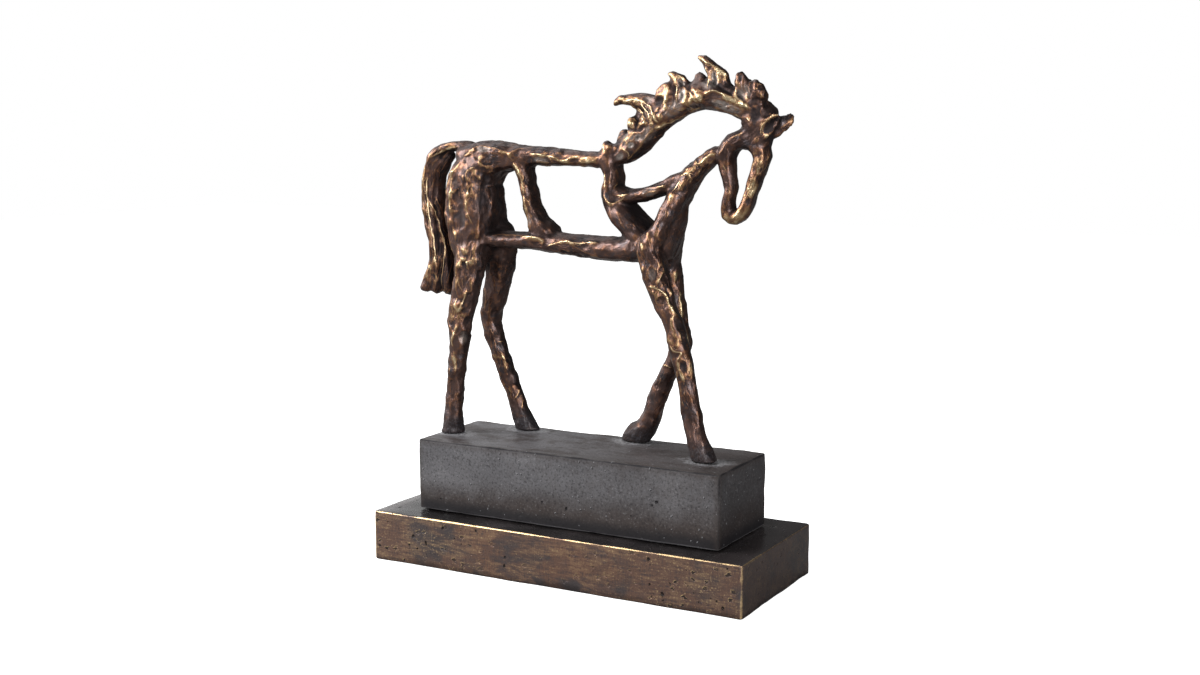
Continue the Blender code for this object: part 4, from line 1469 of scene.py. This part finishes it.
@dataclass
class HorseCasting:
    """The horse: one casting, taken from its solid and worked over.

    drawn_reach is how far from its depth a stretch of skin still takes all of what is drawn on it, and
    where it takes none. sky_reach, sky_lift and sky_rays say how far, from what height over the skin and
    with how many rays the open sky is looked for. hoof_gap is the least distance between the middles of
    two hooves.
    """

    node: str = "horse"
    name: str = "horse_casting"
    voxel: float = 1.15
    fairing: int = 9
    midplane: float = 12.0
    drawn_reach: tuple[float, float] = (10.0, 16.0)
    press_stretch: float = 2.1
    ridge_stretch: float = 3.6
    strand_gap: float = 4.4
    sky_reach: float = 60.0
    sky_lift: float = 0.8
    sky_rays: int = 9
    hoof_gap: float = 32.0
    triangles: int = 190_000
    piece: bpy.types.Object = field(init=False)
    ridged: np.ndarray = field(init=False)

    def build(self) -> bpy.types.Object:
        """Make the finished mesh of the horse.

        Returns:
            The piece, at the origin, with its marks.
        """
        self.take_form()
        clay = Clay(self.piece)
        clay.soften(self.fairing)
        flow = FlowField.around(clay.points, FLOWS)
        heights = self.press_planes(clay, flow) + self.draw_by_hand(clay)
        clay.push(clay.averaged(heights, 1))
        self.set_soles(clay)
        marks = self.wear(clay, flow)
        self.thin(clay, flow, marks)
        pick(self.piece)
        bpy.ops.object.shade_smooth()
        return self.piece

    def take_form(self) -> None:
        """Copy the solid's form, close it and skin it finely."""
        source = bpy.data.objects[self.node]
        pick(source)
        bpy.ops.object.duplicate()
        self.piece = bpy.context.object
        self.piece.name = self.name
        self.piece.data.name = self.name
        self.piece.parent = None
        for key in list(self.piece.keys()):
            del self.piece[key]
        pick(self.piece)
        bpy.ops.object.mode_set(mode="EDIT")
        bpy.ops.mesh.select_all(action="SELECT")
        bpy.ops.mesh.remove_doubles(threshold=MERGE_WITHIN)
        bpy.ops.object.mode_set(mode="OBJECT")
        apply_modifier(self.piece, "fine_skin", "REMESH", mode="VOXEL", voxel_size=self.voxel * MM)

    def press_planes(self, clay: Clay, flow: FlowField) -> np.ndarray:
        """Press shallow bowls that meet in edges, and draw ridges and fine strokes along each limb.

        Args:
            clay: The skin to work.
            flow: The flows of the skin.

        Returns:
            How far each vertex is raised, in millimetres.
        """
        relief = clay.averaged(flow.blend("relief"), 8)
        strands = clay.averaged(flow.blend("strands"), 4)
        cells = np.array([run.cell for run in flow.flows], float)
        warp = np.stack([soft_noise(clay.points, size=12.0, salt=salt) for salt in (1.7, 5.1, 9.4)], axis=1)
        busy = ease(soft_noise(clay.points, size=18.0, salt=3.1), -0.25, 0.35)
        here = ease(soft_noise(clay.points, size=26.0, salt=7.3), -0.12, 0.30)
        heights = np.zeros(len(clay.points))
        ridged = np.zeros(len(clay.points))
        for runs, places, share in (
            (flow.first, flow.first_place, 1.0 - flow.share),
            (flow.second, flow.second_place, flow.share),
        ):
            used = share > 0.01
            apart = FLOW_STEP * runs[used, None]
            squeezed = places[used] / np.array([self.press_stretch, 1.0, 1.0]) + apart
            longer = places[used] / np.array([self.ridge_stretch, 1.0, 1.0]) + apart
            broad = presses(squeezed + 2.6 * warp[used], cells[runs[used]], salt=23.5)
            small = presses(squeezed + 1.4 * warp[used], 0.45 * cells[runs[used]], salt=4.8)
            ridges = creases(longer + 2.0 * warp[used], size=9.0, salt=51.2, sharpness=9.0) * here[used]
            strokes = creases(longer, size=3.4, salt=12.6, sharpness=4.0) * busy[used]
            phase = (places[used, 1] + 1.2 * warp[used, 0]) / self.strand_gap
            lines = np.abs(np.cos(math.pi * phase)) ** 3
            work = 0.55 * broad + (0.18 + 0.34 * busy[used]) * small + 0.9 * ridges + 0.30 * strokes
            heights[used] += share[used] * (relief[used] * work + 0.30 * strands[used] * lines)
            ridged[used] += share[used] * (ridges + 0.3 * strokes + 0.6 * strands[used] * lines)
        self.ridged = ridged
        return heights

    def draw_by_hand(self, clay: Clay) -> np.ndarray:
        """Draw the strokes and press the scoops on each side, and lay their paints.

        Args:
            clay: The skin to work.

        Returns:
            How far each vertex is raised, in millimetres.
        """
        heights = np.zeros(len(clay.points))
        for skin in Skin:
            depth, sides = skin.value
            for side in sides:
                out = (clay.points[:, 1] - self.midplane) * side.value
                facing = ease(clay.normals[:, 1] * side.value, 0.0, 0.45)
                facing *= 1.0 - ease(np.abs(out - depth), *self.drawn_reach)
                patch = Patch(clay, facing)
                for mark in (*STROKES.get(skin, ()), *SCOOPS.get(skin, ())):
                    heights[patch.where] += patch.facing * mark.press(patch)
        return heights

    def set_soles(self, clay: Clay) -> None:
        """Keep the soles flat, and the whole casting inside its solid's box.

        Args:
            clay: The skin.
        """
        low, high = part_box(self.node)
        clay.points = np.clip(clay.points, np.array(low) / MM, np.array(high) / MM)
        clay.read_normals()

    def wear(self, clay: Clay, flow: FlowField) -> dict[str, np.ndarray]:
        """Find where the patina is rubbed through, where it darkens in the hollows and where shade is
        painted, and where it is silvery and sheen is painted.

        Args:
            clay: The finished skin.
            flow: The flows of the skin.

        Returns:
            For each vertex a number from 0 to 1 under the name of each mark, but in metres its offset from
            the nearest drawn line under line, and its place along and across the limb under grain.
        """
        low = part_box(self.node)[0].z / MM
        fine = clay.convexity(3)
        middle = clay.convexity(10)
        broad = clay.convexity(40)
        x, _, z = clay.points.T
        outward = ease(np.abs(clay.normals[:, 1]), 0.10, 0.55)
        # inner and skyward pick faces towards +X, turned from the lights, and upward faces, which get painted
        # shade
        inner = ease(clay.normals[:, 0], 0.45, 0.85) * (1.0 - 0.6 * ease(x, 20.0, 60.0))
        skyward = ease(clay.normals[:, 2], 0.25, 0.80)
        foreleg = ease(x, 30.0, 60.0) * ease(-z, -350.0, -320.0)
        tail = ease(-x, 148.0, 158.0)
        gold = clay.averaged(flow.blend("gold"), 6)
        proud = 0.50 * ease(fine, 0.01, 0.10) + 0.35 * ease(middle, 0.03, 0.40) + 0.2 * ease(broad, 0.2, 1.4)
        patches = np.clip(0.5 + 0.7 * soft_noise(clay.points, size=16.0, salt=77.0), 0.0, 1.0)
        rub_dimmed_in_shade = (proud + 0.20 * self.ridged) * gold * (0.35 + 0.9 * patches)
        rub_dimmed_in_shade += 0.30 * gold**1.5 * patches
        rub_dimmed_in_shade *= 0.55 + 0.45 * outward
        # the rubbed gold, dimmed as painted shade on faces turned from the lights and on upward faces
        rub_dimmed_in_shade *= (1.0 - 0.75 * inner) * (1.0 - 0.65 * skyward)
        rub_dimmed_in_shade += 0.50 * clay.paint["gold"] * (1.0 - 0.5 * skyward) * (0.4 + patches)
        rub_dimmed_in_shade *= ease(z, low + 4.0, low + 30.0) * 0.85 + 0.15
        open_sky = self.openness(clay)
        # patina darkens the hollows; shade is painted where the skin is hemmed in, on faces towards +X and on
        # upward faces, less on the forelegs and tail, and the drawn shade is laid over it
        patina_and_shade = 0.45 * ease(-fine, 0.01, 0.12) + 0.45 * ease(-middle, 0.03, 0.45)
        patina_and_shade += 0.30 * inner + 0.8 * ease(-open_sky, -0.72, -0.25) + 0.58 * skyward
        patina_and_shade -= 0.22 * foreleg + 0.20 * tail
        patina_and_shade = np.maximum(patina_and_shade * (1.0 - 0.6 * clay.paint["gold"]), clay.paint["shade"])
        hair = flow.blend("strands")
        drawn = (1.0 - 2.0 * flow.share) * (0.6 + 0.4 * hair)
        marks = {"rub_dimmed_in_shade": rub_dimmed_in_shade, "patina_and_shade": patina_and_shade, "pewter_and_sheen": clay.paint["silver_and_sheen"], "drawn": drawn}
        marks = {name: np.clip(clay.averaged(values, 1), 0.0, 1.0) for name, values in marks.items()}
        marks["line"] = MM * clay.line
        marks["line_gold"] = np.clip(clay.line_gold, 0.0, 1.0)
        grain = flow.first_place + FLOW_STEP * flow.first[:, None]
        grain[:, 0] *= 1.0 - 0.75 * hair
        marks["grain"] = MM * grain
        return marks

    def thin(self, clay: Clay, flow: FlowField, marks: dict[str, np.ndarray]) -> None:
        """Thin the skin where it is flat, and carry the marks over to the vertices that are left.

        Args:
            clay: The skin that the marks belong to.
            flow: The flows of that skin.
            marks: The marks by name.
        """
        tree = clay.tree()
        faces = [tuple(polygon.vertices) for polygon in self.piece.data.polygons]
        self.piece.data.calc_loop_triangles()
        share = self.triangles / len(self.piece.data.loop_triangles)
        apply_modifier(self.piece, "thin", "DECIMATE", ratio=min(1.0, share))
        count = len(self.piece.data.vertices)
        corners_of = np.zeros((count, 4), np.int64)
        weights = np.zeros((count, 4))
        for row, vertex in enumerate(self.piece.data.vertices):
            place, _, face, _ = tree.find_nearest(vertex.co / MM)
            ring = faces[face]
            corners_of[row, : len(ring)] = ring
            weights[row, : len(ring)] = poly_3d_calc([Vector(clay.points[corner]) for corner in ring], place)
        leading = flow.first[corners_of[np.arange(count), np.argmax(weights, axis=1)]]
        same = weights * (flow.first[corners_of] == leading[:, None])
        same /= same.sum(axis=1, keepdims=True)
        for name, values in marks.items():
            shares = weights if values.ndim == 1 else same[:, :, None]
            write_mark(self.piece, name, (values[corners_of] * shares).sum(axis=1))

    def openness(self, clay: Clay) -> np.ndarray:
        """Look for the open sky from the skin.

        Args:
            clay: The skin.

        Returns:
            For each vertex the share of the directions out of it that meet no other part of the horse nearby.
        """
        tree = clay.tree()
        golden = math.pi * (3.0 - math.sqrt(5.0))
        rays = []
        for index in range(self.sky_rays):
            height = 1.0 - (index + 0.5) / self.sky_rays
            ring = math.sqrt(1.0 - height * height)
            rays.append(Vector((ring * math.cos(golden * index), ring * math.sin(golden * index), height)))
        free = np.zeros(len(clay.points))
        for row, (place, normal) in enumerate(zip(clay.points, clay.normals)):
            up = Vector(normal)
            turn = Vector((0.0, 0.0, 1.0)).rotation_difference(up)
            origin = Vector(place) + up * self.sky_lift
            hits = sum(tree.ray_cast(origin, turn @ ray, self.sky_reach)[0] is not None for ray in rays)
            free[row] = 1.0 - hits / self.sky_rays
        return clay.averaged(free, 3)

    def hooves(self) -> tuple[tuple[float, float], ...]:
        """Find where the hooves stand, from the solid's soles.

        Returns:
            The middle of each hoof, as x and y in metres.
        """
        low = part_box(self.node)[0].z
        spots = np.array([vertex.co for vertex in bpy.data.objects[self.node].data.vertices])
        sole_depth = 1.0 * MM
        soles = spots[spots[:, 2] < low + sole_depth][:, :2]
        groups: list[list[np.ndarray]] = []
        for spot in soles:
            gap = self.hoof_gap * MM
            near = [group for group in groups if np.linalg.norm(np.mean(group, axis=0) - spot) < gap]
            if near:
                near[0].append(spot)
            else:
                groups.append([spot])
        return tuple(tuple(float(value) for value in np.mean(group, axis=0)) for group in groups)


# ---- The base ----


class Face(Enum):
    """A face of a block, by its axis and by the sign of that axis."""

    NEAR = (1, -1.0)
    FAR = (1, 1.0)
    FRONT = (0, 1.0)
    REAR = (0, -1.0)
    TOP = (2, 1.0)


@dataclass(frozen=True)
class PitField:
    """Casting pits scattered on some faces of a block: how many on each, how wide, and where they crowd."""

    faces: tuple[Face, ...]
    count: int
    smallest: float
    largest: float
    crowding: float = 0.0


@dataclass
class PittedBlock:
    """A slightly uneven block with soft edges and small casting pits cut into its faces.

    The roundings stay under the block's height over divisions + 1, so that no bevel folds over.
    """

    node: str
    name: str
    rounding: float
    corner_rounding: float
    unevenness: float
    pits: tuple[PitField, ...]
    seed: int
    edge_chips: int = 0
    rounding_steps: int = 4
    divisions: int = 27
    wave: float = 22.0
    ripple: float = 9.0
    clearance: float = 1.6
    smooth_angle: float = 32.0
    low: Vector = field(init=False)
    high: Vector = field(init=False)
    chance: np.random.Generator = field(init=False)
    piece: bpy.types.Object = field(init=False)

    def build(self) -> bpy.types.Object:
        """Make the block.

        Returns:
            The piece, at the origin.
        """
        self.low, self.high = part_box(self.node)
        self.chance = np.random.default_rng(self.seed)
        deselect()
        bpy.ops.mesh.primitive_cube_add(size=1.0, location=(self.low + self.high) / 2)
        self.piece = bpy.context.object
        self.piece.name = self.name
        self.piece.data.name = self.name
        self.piece.scale = self.high - self.low
        settle(self.piece)
        self.round_edges()
        self.make_uneven()
        self.cut_pits()
        pick(self.piece)
        bpy.ops.object.shade_smooth_by_angle(angle=math.radians(self.smooth_angle))
        return self.piece

    def round_edges(self) -> None:
        """Divide the faces, then bevel the upright corners, and the other edges more tightly."""
        pick(self.piece)
        bpy.ops.object.mode_set(mode="EDIT")
        bpy.ops.mesh.select_all(action="SELECT")
        bpy.ops.mesh.subdivide(number_cuts=self.divisions)
        bpy.ops.object.mode_set(mode="OBJECT")
        for upright, radius in ((True, self.corner_rounding), (False, self.rounding)):
            self.pick_edges(upright)
            bpy.ops.object.mode_set(mode="EDIT")
            bpy.ops.mesh.bevel(offset=radius * MM, segments=self.rounding_steps, profile=0.5)
            bpy.ops.object.mode_set(mode="OBJECT")

    def pick_edges(self, upright: bool) -> None:
        """Select the edges where two faces of the box meet.

        Args:
            upright: Take the upright edges, not the level ones.
        """
        pick(self.piece)
        mesh = self.piece.data
        sides: dict[tuple[int, int], list[Vector]] = {}
        for face in mesh.polygons:
            for edge in face.edge_keys:
                sides.setdefault(edge, []).append(face.normal)
        bpy.ops.object.mode_set(mode="EDIT")
        bpy.ops.mesh.select_mode(type="EDGE")
        bpy.ops.mesh.select_all(action="DESELECT")
        bpy.ops.object.mode_set(mode="OBJECT")
        for edge in mesh.edges:
            first, second = sides[edge.key]
            level = max(abs(first.z), abs(second.z)) > 0.9
            turned = first.dot(second) < (0.2 if level else 0.9)
            edge.select = turned and (upright != level)

    def make_uneven(self) -> None:
        """Sink the skin in soft waves, so that no face is quite flat and no edge quite straight."""
        clay = Clay(self.piece)
        waves = soft_noise(clay.points, self.wave, self.seed)
        waves += 0.4 * soft_noise(clay.points, self.ripple, self.seed + 5)
        clay.push(-self.unevenness * np.clip(0.45 + waves, 0.0, 1.4))

    def cut_pits(self) -> None:
        """Cut all pits and chips out with one cutter, and mark the hollows and the lid."""
        placed = [(rule, face) for rule in self.pits for face in rule.faces for _ in range(rule.count)]
        spots = [self.pit_spot(rule, face) for rule, face in placed]
        spots += [self.chip_spot() for _ in range(self.edge_chips)]
        kept: list[tuple[Vector, float]] = []
        for place, radius in spots:
            if all((place - other).length > self.clearance * (radius + size) * MM for other, size in kept):
                kept.append((place, radius))
        pick(*[self.lump(place, radius) for place, radius in kept])
        bpy.ops.object.join()
        cutter = bpy.context.object
        settle(cutter)
        skin = Clay(self.piece).tree()
        apply_modifier(self.piece, "pits", "BOOLEAN", operation="DIFFERENCE", solver="EXACT", object=cutter)
        bpy.data.objects.remove(cutter, do_unlink=True)
        depths = np.array([skin.find_nearest(vertex.co / MM)[3] for vertex in self.piece.data.vertices])
        upward = np.array([vertex.normal.z for vertex in self.piece.data.vertices])
        write_mark(self.piece, "hollow", ease(depths, 0.05, 0.45))
        write_mark(self.piece, "lid", ease(upward, 0.70, 0.92))

    def pit_spot(self, rule: PitField, face: Face) -> tuple[Vector, float]:
        """Choose a place for one shallow pit, half sunk into its face.

        Args:
            rule: The pit's field.
            face: The face that it is on.

        Returns:
            The place in metres and the pit's radius in millimetres.
        """
        across, sign = face.value
        half = (self.high - self.low) / 2
        place = (self.low + self.high) / 2
        inset = (self.rounding + rule.largest) * MM
        for axis in range(3):
            if axis == across:
                continue
            share = self.chance.uniform(-1.0, 1.0)
            if axis == 0 and rule.crowding:
                share = math.copysign(abs(share) ** (1.0 - rule.crowding), share)
            place[axis] += share * (half[axis] - inset)
        radius = rule.smallest + (rule.largest - rule.smallest) * self.chance.random() ** 2.5
        place[across] += sign * (half[across] + 0.35 * radius * MM)
        return place, radius

    def chip_spot(self) -> tuple[Vector, float]:
        """Choose a place for a small chip on one of the long upper edges.

        Returns:
            The place in metres and the chip's radius in millimetres.
        """
        outside = 0.2 * MM
        place = Vector((0.0, 0.0, self.high.z + outside))
        place.x = self.chance.uniform(self.low.x, self.high.x) * 0.97
        edge = self.low.y if self.chance.random() < 0.5 else self.high.y
        place.y = edge * (1.0 + outside / self.high.y)
        return place, self.chance.uniform(0.8, 1.5)

    def lump(self, place: Vector, radius: float) -> bpy.types.Object:
        """Make a small uneven ball.

        Args:
            place: Its middle, in metres.
            radius: Its radius, in millimetres.

        Returns:
            The ball.
        """
        deselect()
        turn = tuple(self.chance.uniform(0.0, math.tau) for _ in range(3))
        size = radius * MM
        bpy.ops.mesh.primitive_ico_sphere_add(subdivisions=2, radius=size, location=place, rotation=turn)
        made = bpy.context.object
        made.scale = tuple(self.chance.uniform(0.6, 1.35) for _ in range(3))
        return made


# ---- The studio ----


@dataclass(frozen=True)
class SoftLight:
    """A square area light that looks at the sculpture. Places are in metres."""

    name: str
    place: Point
    target: Point
    width: float
    height: float
    power: float

    def add(self) -> None:
        """Hang the light."""
        deselect()
        bpy.ops.object.light_add(type="AREA", location=self.place)
        lamp = bpy.context.object
        lamp.name = self.name
        lamp.data.shape = "RECTANGLE"
        lamp.data.size = self.width
        lamp.data.size_y = self.height
        lamp.data.energy = self.power
        aim = Vector(self.target) - Vector(self.place)
        lamp.rotation_euler = aim.to_track_quat("-Z", "Y").to_euler()


@dataclass(frozen=True)
class Studio:
    """A plain pale floor, soft light and the camera. Places are in metres."""

    camera_place: Point = (0.6783, -1.2116, 0.4144)
    camera_azimuth: float = 28.80
    camera_elevation: float = 8.147
    lens: float = 45.93
    sensor: float = 36.0
    floor_size: float = 9.0
    ambient: float = 0.08
    behind: float = 1.1
    left: float = 0.30
    lights: tuple[SoftLight, ...] = (
        SoftLight("key_left", (-1.30, -0.90, 1.10), (0.0, 0.0, 0.25), 1.1, 1.1, 40.0),
        SoftLight("top_left", (-0.80, 0.45, 1.60), (-0.1, 0.0, 0.25), 1.2, 0.8, 13.0),
        SoftLight("right_fill", (1.35, -1.30, 0.75), (0.0, 0.0, 0.25), 0.9, 1.2, 26.0),
    )

    def build(self) -> None:
        """Set up floor, world, lights and camera."""
        self.add_camera()
        self.add_floor()
        self.light_world()
        bpy.context.scene.view_settings.view_transform = "Standard"
        for light in self.lights:
            light.add()

    def add_camera(self) -> None:
        """Place the camera."""
        deselect()
        turn = (math.radians(90.0 - self.camera_elevation), 0.0, math.radians(self.camera_azimuth))
        bpy.ops.object.camera_add(location=self.camera_place, rotation=turn)
        camera = bpy.context.object
        camera.name = "studio_camera"
        camera.data.lens = self.lens
        camera.data.sensor_width = self.sensor
        bpy.context.scene.camera = camera

    def add_floor(self) -> None:
        """Lay the floor."""
        deselect()
        bpy.ops.mesh.primitive_plane_add(size=self.floor_size, location=(0.0, 0.0, 0.0))
        floor = bpy.context.object
        floor.name = "studio_floor"
        settle(floor)
        dress(floor, PaleSweep().material())

    def light_world(self) -> None:
        """White to look at. As a light it is bright behind, dimmer to the left and dark to the right."""
        world = bpy.data.worlds.new("studio_world")
        bpy.context.scene.world = world
        graph = Graph(world)
        heading = graph.out("ShaderNodeTexCoord", output="Generated")
        glow = self.ambient
        for towards, low, high, strength in (
            ((-0.906, 0.423, 0.0), 0.74, 0.93, self.behind),
            ((-0.800, -0.600, 0.0), -0.2, 1.0, self.left),
        ):
            turned = {0: heading, 1: towards}
            along = graph.out("ShaderNodeVectorMath", {"operation": "DOT_PRODUCT"}, turned, "Value")
            glow = along.rise(low, high) * strength + glow
        seen = graph.out("ShaderNodeLightPath", output="Is Camera Ray")
        shown = {"Color": (1.0, 1.0, 1.0), "Strength": (1.0 - seen) * glow + seen}
        background = graph.out("ShaderNodeBackground", None, shown)
        graph.node("ShaderNodeOutputWorld", None, {"Surface": background})


# ---- Building ----


def hand_over(piece: bpy.types.Object, node: str) -> None:
    """Let a piece stand for its solid and ride with the root body.

    Args:
        piece: The finished piece.
        node: The solid's name.
    """
    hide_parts(node)
    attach(piece, "root")
    piece.data.calc_loop_triangles()
    LOG.info("%s stands for %s: %d triangles", piece.name, node, len(piece.data.loop_triangles))


def main() -> None:
    """Build the studio, the horse and its base."""
    logging.basicConfig(level=logging.INFO, format="%(name)s: %(message)s")
    Studio().build()

    casting = HorseCasting()
    horse = casting.build()
    dress(horse, RubbedBronze(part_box("horse")[0].z).material())
    hand_over(horse, "horse")

    block_low, block_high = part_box("plinth_block")
    block = PittedBlock(
        node="plinth_block",
        name="charcoal_block",
        rounding=2.4,
        corner_rounding=3.4,
        unevenness=0.9,
        seed=11,
        pits=(
            PitField((Face.NEAR, Face.FAR), count=70, smallest=0.35, largest=1.8),
            PitField((Face.FRONT, Face.REAR), count=12, smallest=0.35, largest=1.0),
            PitField((Face.TOP,), count=16, smallest=0.3, largest=0.7),
        ),
    ).build()
    stone = CharcoalStone(tuple(block_low), tuple(block_high), casting.hooves())
    dress(block, stone.material())
    hand_over(block, "plinth_block")

    slab_low, slab_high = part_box("base_slab")
    slab = PittedBlock(
        node="base_slab",
        name="bronze_slab",
        rounding=1.5,
        corner_rounding=4.0,
        unevenness=0.45,
        seed=5,
        edge_chips=14,
        pits=(
            PitField((Face.NEAR, Face.FAR), count=90, smallest=0.45, largest=2.4, crowding=0.55),
            PitField((Face.FRONT, Face.REAR), count=16, smallest=0.45, largest=1.6),
            PitField((Face.TOP,), count=14, smallest=0.3, largest=0.8),
        ),
    ).build()
    dress(slab, AgedBronze(tuple(slab_low), tuple(slab_high)).material())
    hand_over(slab, "base_slab")


if __name__ == "__main__":
    main()
